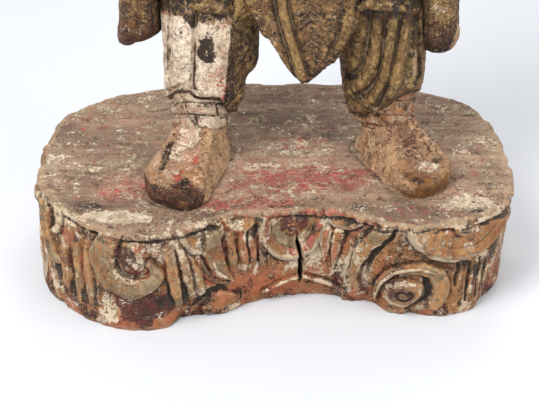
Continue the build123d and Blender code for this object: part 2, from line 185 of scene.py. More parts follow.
class Relief:
    """The plinth's wall as a flat strip: s runs round it from the front middle, z up, in mm."""

    def __init__(self):
        top, foot = plinth_outline(TOP_Z), plinth_outline(0.0)
        front = np.argmin(abs(top[:, 0] - 23.0) + 1000.0 * (top[:, 1] > 0))
        top, foot = np.roll(top, -front, 0), np.roll(foot, -front, 0)
        lengths = np.hypot(*(np.roll(top, -1, 0) - top).T)
        self.length = lengths.sum()
        around = np.concatenate([[0], np.cumsum(lengths)])
        fine, plain = 0.85 * COARSE, 2.2 * COARSE
        half = self.length / 2
        self.s = np.concatenate([
            np.linspace(-half, -DETAILED, int((half - DETAILED) / plain), endpoint=False),
            np.linspace(-DETAILED, DETAILED, int(2 * DETAILED / fine), endpoint=False),
            np.linspace(DETAILED, half, int((half - DETAILED) / plain), endpoint=False),
        ])
        self.z = np.linspace(0, TOP_Z, int(TOP_Z / (0.95 * COARSE)))
        self.S, self.Z = np.meshgrid(self.s, self.z, indexing="ij")
        self.cut_s = self.S + 1.2 * noise(self.S, self.Z, 0, 5, 17.0) + 0.3 * noise(self.S, self.Z, 0, 6,
                                                                                    4.0)
        self.cut_z = self.Z + 1.2 * noise(self.S, self.Z, 0, 7, 17.0) + 0.3 * noise(self.S, self.Z, 0, 8,
                                                                                    4.0)
        place = self.s % self.length
        closed_top, closed_foot = np.vstack([top, top[:1]]), np.vstack([foot, foot[:1]])
        self.top = np.stack([np.interp(place, around, closed_top[:, i]) for i in (0, 1)], axis=1)
        self.foot = np.stack([np.interp(place, around, closed_foot[:, i]) for i in (0, 1)], axis=1)
        along = np.roll(self.top, -1, 0) - np.roll(self.top, 1, 0)
        along /= np.linalg.norm(along, axis=1)[:, None]
        self.out = np.stack([along[:, 1], -along[:, 0]], axis=1)
        self.height = np.full(self.S.shape, GROUND)
        self.paint = {name: np.zeros(self.S.shape) for name in LAYERS_ON_PLINTH}

    def across(self, points, widths):
        """Distance from a smooth line as a share of its half width, and the place along it."""
        line = curve(points)
        half = np.interp(np.linspace(0, 1, len(line)), np.linspace(0, 1, len(widths)), widths) / 2
        best = np.full(self.S.shape, 1e3)
        along = np.zeros(self.S.shape)
        reach = max(widths) * 1.6
        near = (self.S > line[:, 0].min() - reach) & (self.S < line[:, 0].max() + reach)
        s, z = self.cut_s[near], self.cut_z[near]
        found, place = np.full(s.shape, 1e3), np.zeros(s.shape)
        for n in range(len(line) - 1):
            a, d = line[n], line[n + 1] - line[n]
            t = np.clip(((s - a[0]) * d[0] + (z - a[1]) * d[1]) / max(d @ d, 1e-9), 0, 1)
            width = half[n] + (half[n + 1] - half[n]) * t
            share = np.hypot(s - a[0] - d[0] * t, z - a[1] - d[1] * t) / width
            closer = share < found
            found[closer] = share[closer]
            place[closer] = ((n + t) / (len(line) - 1))[closer]
        best[near], along[near] = found, place
        return best, along

    def ribbon(self, points, widths, height=3.5, paint="olive", cover=0.8, flat=0.6, fade=0.0):
        """A raised band with a line cut along each side, painted dark there as painted shade; fade sinks
        its ends into the ground.
        """
        share, place = self.across(points, widths)
        share = share * (1 + 0.16 * noise(self.S, self.Z, 0, 9, 6.0))
        inside = share < 1
        ends = 1 - fade * (1 - step(0.0, 0.22, place) * step(1.0, 0.72, place))
        profile = np.where(inside, np.sqrt(np.clip(1 - share**2, 0, 1)) ** flat, 0)
        crest = GROUND + height * profile * ends
        moat = step(1.0, 1.12, share) * step(1.5, 1.15, share) * ends
        self.height = np.where(inside, np.maximum(self.height, crest), self.height - 0.9 * moat)
        self.tint(paint, cover * 0.88, step(1.02, 0.7, share))
        # painted shade in the moats along the band
        self.tint("dark", 0.24, moat)
        return share

    def groove(self, points, widths, depth=2.5, paint="dark", cover=0.85):
        """A cut line, painted dark by default as painted shade in it."""
        share, _ = self.across(points, widths)
        self.height -= depth * np.sqrt(np.clip(1 - share**2, 0, 1))
        self.tint(paint, cover, step(1.15, 0.6, share))

    def tint(self, paint, cover, where):
        """Lays a paint over a place, and thins the other paints there."""
        for name, layer in self.paint.items():
            if name == paint:
                self.paint[name] = np.maximum(layer, cover * where)
            elif paint != "dark":
                self.paint[name] = layer * (1 - 0.7 * where)

    def patch(self, paint, s, z, width, tall, cover=0.75):
        """A loose patch of paint."""
        self.tint(paint, cover, step(1.0, 0.35, np.hypot((self.S - s) / (width / 2),
                                                         (self.Z - z) / (tall / 2))))

    def bar(self, s, high, low, width=8.0, lean=0.0, height=3.2, paint="olive", cover=0.62):
        """One of the short upright bars that hang between the scrolls."""
        self.ribbon([(s, high), (s + lean * 0.5, (high + low) / 2), (s + lean, low)],
                    (width * 0.8, width, width * 0.9, width * 0.6), height, paint, cover, flat=0.7,
                    fade=0.8)

    def shell(self, s, z, radius, drop, rise, bands, lip=0.2):
        """A hanging scooped half-round with a sharp rim and a sloping band outside it.

        A band of paint is (inner share, outer share, paint, cover).
        """
        share = np.hypot((self.cut_s - s) / radius, (self.cut_z - z) / drop)
        scoop = GROUND - 1.0 + (rise + 1.0) * np.clip(share / (1 - lip), 0, 1) ** 2.4
        edge = GROUND + rise * step(1.06, 1 - lip, share)
        scored = 0.7 * step(0.035, 0.0, abs(share - 1 + 2.2 * lip))
        moat = step(1.0, 1.04, share) * step(1.20, 1.06, share)
        self.height = np.where(share < 1, np.where(share < 1 - lip, scoop, edge) - scored,
                               self.height - 1.5 * moat)
        for inner, outer, paint, cover in bands:
            self.tint(paint, cover, step(inner - 0.05, inner + 0.05, share) * step(outer + 0.05,
                                                                                   outer - 0.05, share))
        # painted shade in the moat round the rim
        self.tint("dark", 0.34, moat)


# ground colours of the carved front, from the figure's right to its left: paint, s, z, width, height, cover
FRONT_GROUNDS = (
    ("maroon", -200, 50, 150, 110, 0.48),
    ("dark", -190, 40, 130, 110, 0.42),
    ("orange", -205, 60, 70, 80, 0.5),
    ("gesso", -215, 90, 40, 24, 0.7),
    ("gesso", -178, 93, 40, 16, 0.66),
    ("gesso", -232, 20, 34, 36, 0.62),
    ("maroon", -238, 36, 26, 24, 0.8),
    ("dark", -226, 30, 22, 40, 0.6),
    ("gesso", -172, 16, 26, 44, 0.66),
    ("maroon", -142, 22, 66, 44, 0.85),
    ("dark", -112, 30, 40, 50, 0.7),
    ("dark", -128, 26, 30, 22, 0.7),
    ("orange", -128, 8, 40, 16, 0.7),
    ("gesso", -124, 78, 26, 40, 0.7),
    ("gesso", -96, 34, 26, 50, 0.55),
    ("gesso", -84, 76, 40, 30, 0.66),
    ("orange", -70, 44, 66, 90, 0.8),
    ("orange", -45, 36, 110, 90, 0.85),
    ("gesso", -72, 4, 60, 10, 0.6),
    ("orange", -10, 34, 110, 70, 0.85),
    ("gesso", -12, 44, 130, 40, 0.46),
    ("orange", -5, 12, 110, 24, 0.8),
    ("gesso", 46, 36, 40, 70, 0.85),
    ("orange", 30, 60, 44, 50, 0.6),
    ("dark", 46, 92, 26, 16, 0.8),
    ("dark", 80, 32, 18, 28, 0.8),
    ("gesso", 98, 62, 14, 40, 0.5),
    ("orange", 90, 60, 50, 60, 0.45),
    ("gesso", 62, 12, 40, 14, 0.6),
    ("ochre", 125, 46, 150, 110, 0.60),
    ("dark", 157, 38, 22, 36, 0.7),
    ("gesso", 150, 55, 56, 12, 0.6),
    ("dark", 178, 62, 22, 50, 0.7),
    ("dark", 168, 38, 14, 30, 0.6),
)


def carve_front(wall):
    """Lays out the scrolls, swags and bars that the plinth's front is carved with."""
    patch, ribbon, bar, groove, shell = wall.patch, wall.ribbon, wall.bar, wall.groove, wall.shell
    front = step(DETAILED + 60, DETAILED, abs(wall.S))
    for name, cover in (("gesso", 0.30), ("dark", 0.14), ("maroon", 0.22), ("orange", 0.38),
                        ("cream", 0.10)):
        wall.paint[name] += cover * front + 0.05
    for place in FRONT_GROUNDS:
        patch(*place)
    # end strap with its inner hook
    ribbon([(-250, 97), (-248, 76), (-243, 57), (-233, 46), (-220, 47)], (15, 18, 19, 14, 7), 5.5,
           cover=0.85)
    ribbon([(-226, 97), (-222, 86), (-225, 76), (-231, 70)], (7, 9, 8, 5), 4.0, "gesso", 0.7)
    groove([(-236, 92), (-234, 72), (-226, 60)], (3, 5, 3), 3.0)
    # first bars
    bar(-216, 70, 18, 10.5, 0, 4.6, cover=0.6)
    bar(-199, 80, 16, 10.0, -2, 4.6, cover=0.55)
    bar(-187, 78, 20, 8.5, -2, 4.0, "orange", 0.45)
    groove([(-208, 58), (-207, 20)], (5, 6), 1.6)
    # great C-scroll round a boss
    scroll = [(-156, 97), (-166, 84), (-171, 68), (-166, 52), (-153, 44), (-138, 47), (-129, 58),
              (-133, 70)]
    ribbon(scroll, (12, 20, 23, 22, 19, 15, 12, 7), 8.0, cover=0.8, flat=0.85)
    wall.height += 3.0 * step(17, 8, np.hypot(wall.S + 147, wall.Z - 72))
    patch("maroon", -149, 80, 22, 16, 0.9)
    patch("gesso", -140, 70, 18, 14, 0.9)
    patch("maroon", -146, 61, 20, 12, 0.9)
    patch("gesso", -128, 84, 18, 26, 0.85)
    groove([(-152, 90), (-138, 91), (-122, 92)], (3, 4, 3), 1.6)
    groove([(-176, 60), (-172, 42), (-160, 34)], (3, 5, 3), 1.8)
    # bars beside it
    bar(-117, 82, 16, 10.0, -1, 4.6, cover=0.55)
    bar(-106, 80, 22, 9.0, 1, 4.4, cover=0.55)
    bar(-96, 64, 20, 9.5, 2, 4.6, cover=0.6)
    # lobe, crescent leaf and the lobe under it
    shell(-84, 98, 22, 32, 3.4, [(0.0, 0.45, "gesso", 0.6), (0.3, 0.8, "olive", 0.7),
                                 (0.82, 1.0, "gesso", 0.8)])
    ribbon([(-92, 66), (-87, 50), (-78, 38), (-66, 30)], (5, 8, 8, 3), 3.4, "dark", 0.7)
    ribbon([(-76, 84), (-77, 64), (-72, 46), (-62, 33)], (14, 19, 15, 3), 6.0, "olive", 0.6)
    ribbon([(-80, 60), (-76, 46), (-63, 33)], (2, 4, 2), 6.2, "gesso", 0.8)
    groove([(-103, 14), (-92, 24), (-76, 28), (-68, 24)], (4, 7, 6, 3), 3.0)
    ribbon([(-92, 8), (-78, 16), (-62, 14)], (10, 18, 10), 3.0, "orange", 0.5)
    # upper swag and bars
    shell(-50, 100, 17, 22, 2.8, [(0.0, 0.5, "maroon", 0.5), (0.35, 0.85, "olive", 0.55),
                                  (0.85, 1.0, "orange", 0.6)])
    patch("dark", -40, 80, 14, 12, 0.8)
    for s, high, low in ((-60, 78, 42), (-50, 80, 38), (-41, 78, 44), (-33, 72, 38)):
        bar(s, high, low, 8.2, 0, 3.6, "orange" if s in (-50, -41) else "olive", 0.5)
    # middle swag
    shell(-8, 82, 30, 38, 5.0, [
        (0.0, 0.42, "maroon", 0.62), (0.36, 0.66, "olive", 0.75), (0.62, 0.82, "red", 0.46),
        (0.84, 1.0, "gesso", 0.72)], 0.18)
    # foot arch
    ribbon([(-34, 13), (-16, 22), (2, 25), (20, 21), (36, 14), (50, 11)], (3, 4.5, 5, 5, 4, 3), 4.2,
           "gesso", 0.55)
    arch = step(0, 5, np.interp(wall.S, (-30, -14, 2, 20, 38), (10, 19, 22, 18, 10)) - wall.Z)
    wall.height -= 4.5 * arch * step(-40, -26, wall.S) * step(50, 36, wall.S)
    # swag and drip bars on the other side of the crack
    shell(33, 101, 19, 24, 3.6, [(0.0, 0.5, "maroon", 0.5), (0.35, 0.82, "olive", 0.7),
                                 (0.84, 1.0, "gesso", 0.75)])
    for s, high, low in ((21, 74, 42), (31, 74, 37)):
        ribbon([(s, high), (s, (high + low) / 2), (s + 1, low)], (10, 9.5, 1.5), 4.0, "gesso", 0.7)
        ribbon([(s, high), (s, (high + low) / 2), (s + 1, low + 5)], (6, 5.5, 1), 3.4, "orange", 0.75)
    # long leaf with a deep shadow beside it
    groove([(78, 96), (77, 82), (69, 67), (66, 52), (68, 40)], (6, 7, 8, 6, 4), 3.6)
    ribbon([(69, 97), (67, 84), (60, 69), (55, 50), (57, 31), (66, 17)], (15, 18, 16, 13, 10, 5), 6.0,
           cover=0.6)
    # bare wood with gouge marks
    for s, z in ((85, 79), (89, 60), (95, 70)):
        groove([(s, z + 5), (s, z - 5)], (4, 5), 1.6, "olive", 0.5)
    # spiral: a boss with a crescent shell round its far side
    ribbon([(84, 10), (82, 30), (88, 46), (103, 53), (119, 46), (127, 30), (124, 12)],
           (4, 7, 8, 10, 14, 15, 8), 5.5, "olive", 0.55)
    ribbon([(84, 14), (83, 32), (90, 47), (103, 54), (118, 49)], (2, 4, 4, 4, 2), 6.4, "gesso", 0.7)
    groove([(112, 44), (117, 32), (115, 18), (108, 8)], (4, 8, 8, 5), 4.2)
    boss = np.hypot(wall.cut_s - 100, wall.cut_z - 25)
    wall.height = np.where(boss < 16, np.maximum(wall.height, GROUND + 6.5 - 5 * step(8, 16, boss)),
                           wall.height)
    wall.tint("maroon", 0.8, step(10, 7, boss))
    wall.tint("gesso", 0.6, step(9, 11, boss) * step(15.5, 13, boss))
    turns = np.radians(np.linspace(0, 420, 16))
    coil = [(100 + (3 + 0.016 * n * 12) * math.cos(t), 25 + (3 + 0.016 * n * 12) * math.sin(t)) for n,
            t in enumerate(turns)]
    groove(coil, (2.0, 2.5, 2.0), 1.6)
    # great swag at the figure's left, with its pendant
    shell(138, 104, 52, 48, 6.0, [
        (0.0, 0.55, "orange", 0.30), (0.50, 0.80, "olive", 0.35), (0.80, 1.0, "olive", 0.6),
        (0.9, 1.02, "gesso", 0.6)], 0.14)
    wall.height = np.maximum(wall.height, GROUND + 5.5 - 7 * step(5, 10,
            np.hypot(wall.S - 133, (wall.Z - 92) * 0.8)))
    patch("gesso", 133, 92, 16, 14, 0.85)
    # painted shadow under the top's lip, over the swag
    patch("dark", 130, 90, 50, 5, 0.7)
    for s, high, low in ((137, 58, 32), (149, 50, 14), (160, 52, 12), (169, 48, 16), (179, 60, 20)):
        groove([(s, high), (s + 3, low)], (4, 5, 3), 2.6, cover=0.6)
        patch("gesso", s + 5, (high + low) / 2, 4, high - low, 0.55)


def carve_sides(wall):
    """Plainer bars and swags carry the pattern round both ends; the back is left as hewn."""
    for way in (-1, 1):
        for s in (272, 284, 296):
            wall.bar(way * s, 60, 14, 9, 0, 2.4, cover=0.55)
        wall.shell(way * 300, 101, 36, 38, 4.6, [(0.0, 0.6, "orange", 0.4), (0.5, 1.0, "olive", 0.6),
                                                 (0.88, 1.0, "gesso", 0.5)])
        turns = np.radians(np.linspace(-60, 250, 12))
        ring = [(way * 338 + 15 * math.cos(t), 40 + 15 * math.sin(t)) for t in turns]
        wall.ribbon(ring, (4, 8, 9, 8, 4), 4.0, "olive", 0.6)
        wall.patch("gesso", way * 262, 40, 50, 70, 0.55)
        wall.patch("maroon", way * 318, 24, 50, 40, 0.6)
        wall.patch("orange", way * 350, 80, 60, 40, 0.5)
    for s in (205, 214, 224, 236, 247):
        wall.groove([(s, 92), (s + 2, 16)], (3, 5, 3), 1.8)
    wall.patch("dark", 232, 50, 40, 60, 0.55)


def finish_wall(wall):
    """Foot lobes, tool marks, the drying crack, the worn top edge and the chipped foot."""
    s, z = wall.S, wall.Z
    # how far the foot stands out (+) or back (-) from the plain wall, round the front
    lobes = np.interp(s, (-230, -205, -165, -142, -130, -118, -104, -90, -76, -62, -50, 20, 42, 52, 62,
                          76, 86, 96,
                          104, 111, 122, 132, 148, 164, 180, 200),
                      (1, 2, 2, 3, 2, -7, -6, 0, 5, 2, -2, -3, -3, 0, -1, -7, -7, 1, 1, -5, -1, 2, 3, 3,
                       -2, 1))
    kernel = np.ones(max(3, int(5 / (0.85 * COARSE))))
    row = np.convolve(np.pad(lobes[:, 0], len(kernel), mode="edge"), kernel / kernel.sum(), "same")
    row = row[len(kernel):-len(kernel)]
    wall.height += row[:, None] * step(44, 0, z)
    carved = step(DETAILED + 90, DETAILED + 20, abs(s))
    # the top stands out over the carving as a thin worn ledge, with a shadow line under it
    ledge_z = 90.5 + 1.6 * noise(s, 0, 0, 15, 19.0)
    ledge = step(ledge_z, ledge_z + 1.8, z) * carved
    reach = GROUND + 0.8 + 2.4 * noise(s, 0, 0, 17, 30.0) + 0.8 * noise(s, z, 0, 18, 7.0)
    wall.height = wall.height * (1 - ledge) + np.maximum(wall.height * 0.4, reach) * ledge
    shadow = step(ledge_z - 4.5, ledge_z - 1.0, z) * (1 - ledge) * carved * step(-0.5, 0.1,
                                                                                 noise(s, z, 0, 16, 24.0))
    wall.height -= 1.2 * shadow
    wall.tint("dark", 0.7, shadow)
    wall.tint("red", 0.52, ledge * step(90, 50, abs(s - 12)))
    for stain, seed, cover in (("wash", 68, 0.8), ("soot_and_shadow", 69, 0.9), ("dark", 70, 0.5),
                               ("gesso", 71, 0.55)):
        wall.paint[stain] = np.maximum(wall.paint[stain],
                                       cover * ledge * step(-0.1, 0.5, noise(s, z, 0, seed, 20.0)))
    x, y = wall.top[:, 0][:, None] + 0 * z, wall.top[:, 1][:, None] + 0 * z
    streak = noise(x, y, z * 0.14, 11, 3.2)
    hewn = noise(x, y, z * 0.3, 12, 17.0)
    wall.height += 0.45 * streak + 0.5 * noise(x, y, z, 13, 9.0) + (1 - carved) * (1.8 * hewn + 2.0)
    # losses all over the carving, where older layers and bare wood show
    front = step(DETAILED + 40, DETAILED - 20, abs(s))
    crest = step(GROUND + 3.0, GROUND + 6.0, wall.height)
    for paint, seed, size, cover in (("orange", 61, 13.0, 0.34), ("gesso", 62, 10.0, 0.50),
                                     ("maroon", 63, 12.0, 0.42),
                                     ("dark", 65, 9.0, 0.34), ("gesso", 66, 5.0, 0.42),
                                     ("cream", 67, 8.0, 0.26)):
        where = step(-0.05, 0.75, noise(s, z * 0.7, 0, seed, size)) * front * (1 - 0.6 * crest)
        wall.paint["olive"] *= 1 - 0.30 * where
        wall.paint[paint] = np.minimum(wall.paint[paint] + cover * where,
                                       np.maximum(wall.paint[paint], 0.8))
    # drying crack: wide in its lower part, a hairline above, its inside painted dark as painted shade
    middle = np.interp(z, (20, 50, 64, 98), (1.5, 0.0, -4.0, -5.5))
    width = np.interp(z, (14, 22, 40, 60, 65, 69, 98), (-0.2, 1.5, 1.6, 1.4, 0.6, -0.25, -0.4))
    open_crack = step(width + 0.7, width - 0.2, abs(s - middle)) * step(14, 18, z)
    depth = np.interp(z, (18, 26, 60, 68, 98), (4, 24, 22, 5, 3))
    wall.height -= depth * open_crack
    wall.paint["dark"] = np.maximum(wall.paint["dark"], open_crack)
    # worn and chipped edges
    chip = np.clip(rough(x, y, z, 21, 13.0) - 0.35, 0, 1)
    wall.height -= chip * (1.6 * step(88, 98, z) + 3.0 * step(12, 0, z))
    broken = np.clip(rough(x, y, z * 0.4, 22, 20.0) - 0.02, 0, 1) * step(86, 95, z) * carved
    wall.height -= 3.8 * broken + 1.8 * step(94.5, 98, z) ** 2 + 1.2 * step(4, 0, z)
    wear = step(0.1, 0.7, noise(x, y, z, 14, 26.0))
    wall.height += wear * carved * 0.3 * np.clip(GROUND + 2.5 - wall.height, -4, 0)
    return chip


def near_soles(x, y):
    """Distance outside the two soles, so that the ground can dip round them."""
    distance = np.full(np.shape(x), 1e3)
    for side in ("right", "left"):
        toe, heel, half_width = sole_line(side)
        d = toe - heel
        t = np.clip(((x - heel[0]) * d[0] + (y - heel[1]) * d[1]) / (d @ d), 0, 1)
        distance = np.minimum(distance, np.hypot(x - heel[0] - d[0] * t,
                                                 y - heel[1] - d[1] * t) - half_width)
    return distance


TURN = {"right": math.radians(-14), "left": math.radians(22)}  # toes outwards
SOLE_HALF = 25.0


def sole_line(side):
    """Middle of the toe's round, middle of the heel's round, and the sole's rough half width."""
    low, high = box_mm(f"{side}_shoe")
    half = SOLE_HALF
    way = np.array([math.sin(TURN[side]), -math.cos(TURN[side])])
    middle = (low[:2] + high[:2]) / 2
    reach = ((high[1] - low[1]) / 2 - half) / math.cos(TURN[side])
    return middle + way * reach, middle - way * reach, half


def ground(x, y):
    """Height of the plinth's hewn top."""
    grain = noise(x * 0.12, y, 0 * x, 31, 5.5) * 0.28 + noise(x * 0.2, y, 0 * x, 32, 2.6) * 0.12
    adze = -abs(noise(x * 0.5, y * 0.9, 0 * x, 33, 26.0)) * 1.5
    sole = near_soles(x, y)
    dip = -0.8 * step(-0.5, 0.5, sole) * step(3.0, 1.0, sole)
    behind = -1.2 * step(20, 90, y) * step(0.1, 0.6, rough(x * 0.35, y, 0 * x, 34, 16.0))
    return TOP_Z - 0.4 + grain + adze + dip + behind


def spread(spacing, half_x, half_y):
    """A triangular grid of points over the plinth."""
    rows = np.arange(-half_y, half_y, spacing * 0.866)
    columns = np.arange(-half_x, half_x, spacing)
    grid = [np.stack([columns + spacing / 2 * (n % 2), np.full(len(columns), y)], 1) for n,
            y in enumerate(rows)]
    return np.concatenate(grid)


def filled(loop, spacing, edge_gap):
    """Triangles that fill a closed loop, with evenly spread points inside it."""
    inside = spread(spacing, 205, 145)
    angle = np.arctan2(loop[:, 1], loop[:, 0])
    order = np.argsort(angle)
    limit = np.interp(np.arctan2(inside[:, 1], inside[:, 0]), angle[order],
                      np.hypot(loop[:, 0], loop[:, 1])[order], period=2 * math.pi)
    inside = inside[np.hypot(inside[:, 0], inside[:, 1]) < limit - edge_gap]
    points = np.concatenate([loop, inside])
    _, _, faces, originals, _, _ = delaunay_2d_cdt(points.tolist(), [], [list(range(len(loop)))], 1, 1e-4)
    back = [original[0] for original in originals]
    return inside, [[back[v] for v in face] for face in faces]


def make_plinth():
    wall = Relief()
    carve_front(wall)
    carve_sides(wall)
    finish_wall(wall)
    columns, rows = wall.S.shape
    share = (wall.Z / TOP_Z)[..., None]
    flat = wall.foot[:, None] * (1 - share) + wall.top[:, None] * share
    flat = flat + wall.out[:, None] * wall.height[..., None]
    edge = flat[:, -1]
    height = wall.Z.copy()
    lift = (ground(edge[:, 0], edge[:, 1]) - TOP_Z)[:, None]
    height += lift * step(TOP_Z - 12, TOP_Z, wall.Z)
    sides = np.concatenate([flat, height[..., None]], axis=2).reshape(-1, 3)
    index = np.arange(columns * rows).reshape(columns, rows)
    here, there = index, np.roll(index, -1, 0)
    faces = np.stack([here[:, :-1], there[:, :-1], there[:, 1:], here[:, 1:]], axis=2).reshape(-1,
                                                                                               4).tolist()
    verts = [sides]
    start = len(sides)
    for loop_row, spacing, up in ((rows - 1, 2.0 * COARSE, True), (0, 14.0, False)):
        inside, triangles = filled(flat[:, loop_row], spacing, spacing * 0.6)
        z = ground(inside[:, 0], inside[:, 1]) if up else np.full(len(inside), 0.0)
        names = np.concatenate([index[:, loop_row], start + np.arange(len(inside))])
        verts.append(np.column_stack([inside, z]))
        start += len(inside)
        faces += [[int(names[v]) for v in (t if up else reversed(t))] for t in triangles]
    verts = np.concatenate(verts)
    plinth = make_piece("plinth", "base_block", verts, faces)
    top_points = verts[len(sides):]
    layers = paint_ground(top_points[:, 0], top_points[:, 1], top_points[:, 2] > 50)
    ragged = 2.5 * noise(sides[:, 0], sides[:, 1], sides[:, 2], 38, 9.0)
    rim = step(TOP_Z - 4, TOP_Z - 0.5, wall.Z.ravel() + ragged)
    rim_layers = paint_ground(sides[:, 0], sides[:, 1], np.ones(len(sides), bool))
    for name, layer in wall.paint.items():
        blended = layer.ravel() * (1 - rim) + rim_layers.get(name, 0) * rim
        set_layer(plinth, name, np.concatenate([blended, layers.get(name, 0) + 0 * top_points[:, 0]]))
    set_layer(plinth, "upper", np.concatenate([rim, (top_points[:, 2] > 50).astype(float)]))
    set_hollows(plinth)
    plinth.data.materials.append(plinth_material())


def paint_ground(x, y, upper):
    """Paint on the plinth's top: worn red in front of the feet, flaking cream along the front."""
    def stain(cx, cy, width, depth, cover):
        ragged = 0.16 * noise(x * 0.7, y, 0, 37, 22.0)
        return cover * step(1.0, 0.3, np.hypot((x - cx) / (width / 2),
                                               (y - cy) / (depth / 2)) + ragged) * upper

    def strongest(even, *places):
        """An even cover, and stains (x, y, width, depth, cover) over it."""
        return most(even, *(stain(*place) for place in places))

    cover = {name: np.zeros(np.shape(x)) for name in LAYERS_ON_PLINTH}
    cloud = step(-0.4, 0.6, noise(x * 0.6, y, 0, 35, 45.0)) * upper
    # soft stains: pink-red rubbed into the middle, grime and the figure's painted shadow at the back and
    # round the feet
    cover["wash"] = strongest(0.16 * cloud,
        (20, -50, 210, 110, 0.85), (-118, -66, 120, 60, 0.6), (-20, -90, 150, 40, 0.7),
        (130, -70, 90, 60, 0.35), (-150, 60, 120, 60, 0.3))
    cover["soot_and_shadow"] = strongest(0.2 * upper * step(30, 100, y),
        (30, 66, 150, 80, 0.8), (40, 26, 80, 34, 0.75), (-160, -96, 90, 40, 0.8), (0, 110, 260, 60, 0.5),
        (-60, 40, 60, 50, 0.4), (120, 70, 110, 60, 0.4), (110, -98, 50, 16, 0.6))
    cover["gesso"] = strongest(0.22 * upper + 0.14 * cloud,
        (-125, -114, 110, 38, 0.78), (-160, 60, 90, 50, 0.42), (22, 4, 150, 60, 0.52),
        (10, -30, 190, 60, 0.46), (5, -70, 190, 70, 0.40), (150, -88, 110, 50, 0.62),
        (-140, -35, 90, 24, 0.40), (-60, -124, 60, 26, 0.66), (-178, 80, 30, 70, 0.5),
        (90, -98, 90, 26, 0.5))
    cover["maroon"] = 0.14 * upper + 0.10 * step(-0.2, 0.6, noise(x * 0.6, y, 0, 36, 50.0)) * upper
    cover["red"] = strongest(0.13 * upper + 0.08 * (1 - cloud) * upper,
        (20, -50, 200, 90, 0.60), (-120, -70, 110, 50, 0.46), (-20, -90, 140, 36, 0.56),
        (-172, 42, 20, 14, 0.5), (30, 12, 120, 50, 0.40), (120, -100, 80, 36, 0.36),
        (-150, -100, 80, 40, 0.34))
    cover["cream"] = strongest(most(0.24 * upper, 0.44 * cover["red"]),
        (22, 0, 150, 50, 0.40), (-125, -114, 100, 34, 0.5), (150, -96, 100, 30, 0.42))
    # the stain between and behind the feet is painted shadow of the figure
    cover["dark"] = strongest(0.16 * upper,
        (-150, -98, 64, 26, 0.5), (35, 34, 80, 30, 0.36), (15, -96, 60, 10, 0.66), (160, -102, 70, 14, 0.5),
        (60, -97, 60, 10, 0.5), (174, -60, 20, 30, 0.42))
    return cover


# ---------------------------------------------------------------- carving by distance fields
# Each carved block is a field: negative inside the wood, positive outside, in mm.
def ellipsoid(x, y, z, centre, radii):
    q = ((x - centre[0]) / radii[0]) ** 2 + ((y - centre[1]) / radii[1]) ** 2 + ((z - centre[2])
                                                                                 / radii[2]) ** 2
    return (np.sqrt(q) - 1) * min(radii)


def limb(x, y, z, start, end, start_radius, end_radius):
    """A round limb that tapers from one end to the other."""
    a, d = np.array(start, np.float32), np.array(end, np.float32) - np.array(start, np.float32)
    t = np.clip(((x - a[0]) * d[0] + (y - a[1]) * d[1] + (z - a[2]) * d[2]) / (d @ d), 0, 1)
    gap = np.sqrt((x - a[0] - d[0] * t) ** 2 + (y - a[1] - d[1] * t) ** 2 + (z - a[2] - d[2] * t) ** 2)
    return gap - (start_radius + (end_radius - start_radius) * t)


def chain(x, y, z, points, radii, blend=2.0):
    """Limbs joined end to end."""
    field = limb(x, y, z, points[0], points[1], radii[0], radii[1])
    for n in range(1, len(points) - 1):
        field = join(field, limb(x, y, z, points[n], points[n + 1], radii[n], radii[n + 1]), blend)
    return field


def loft(x, y, z, sections, corner=2.0):
    """Rounded sections (height, middle x, middle y, half width, half depth), smoothly joined."""
    table = np.array(sections, float)
    fine = np.linspace(table[0, 0], table[-1, 0], 120)
    columns = [np.interp(fine, table[:, 0], table[:, n]) for n in range(1, 5)]
    soft = np.ones(9) / 9
    columns = [np.convolve(np.pad(c, 4, mode="edge"), soft, "valid") for c in columns]
    cx, cy, hx, hy = (np.interp(z, fine, c).astype(np.float32) for c in columns)
    share = (abs((x - cx) / hx) ** corner + abs((y - cy) / hy) ** corner) ** (1 / corner)
    return np.maximum((share - 1) * np.minimum(hx, hy), np.maximum(table[0, 0] - z, z - table[-1, 0]))


def rows_over(x, y, rows, base=0.0):
    """Sections of a loft over one middle; a row is (height, half width, half depth)."""
    return [(base + height, x, y, half_x, half_y) for height, half_x, half_y in rows]


def join(a, b, soft=2.0):
    share = np.clip(0.5 + 0.5 * (b - a) / soft, 0, 1)
    return b * (1 - share) + a * share - soft * share * (1 - share)


def join_max(a, b, soft):
    """The part that is inside both, with a rounded edge."""
    return -join(-a, -b, soft)


def cut(a, tool, soft=1.0):
    """Field a with the tool's inside taken away."""
    return -join(-a, tool, soft)


def line_gap(a, b, points, count=16):
    """Distance from a smooth line in a plane, and the place along it."""
    line = curve(points, count).astype(np.float32)
    best, along = np.full(a.shape, 1e3, np.float32), np.zeros(a.shape, np.float32)
    for n in range(len(line) - 1):
        start, d = line[n], line[n + 1] - line[n]
        t = np.clip(((a - start[0]) * d[0] + (b - start[1]) * d[1]) / max(d @ d, 1e-6), 0, 1)
        gap = np.hypot(a - start[0] - d[0] * t, b - start[1] - d[1] * t)
        closer = gap < best
        best = np.where(closer, gap, best)
        along = np.where(closer, (n + t) / (len(line) - 1), along)
    return best, along


def cut_line(a, b, points, width, depth):
    """A V-shaped cut along a line, deepest in its middle."""
    gap, along = line_gap(a, b, points)
    return -depth * np.clip(1 - gap / (width / 2), 0, 1) * step(0, 0.12, along + 0.04) * step(1.04, 0.9,
                                                                                              along)


def cut_lines(a, b, lines):
    """Several cuts; each line is (points, width, depth)."""
    return sum(cut_line(a, b, *line) for line in lines)


def raised_line(a, b, points, width, height):
    """A rounded cord along a line."""
    gap, _ = line_gap(a, b, points)
    return height * np.sqrt(np.clip(1 - (gap / (width / 2)) ** 2, 0, 1))


def raised_lines(a, b, lines):
    """Several cords; each line is (points, width, height)."""
    return sum(raised_line(a, b, *line) for line in lines)


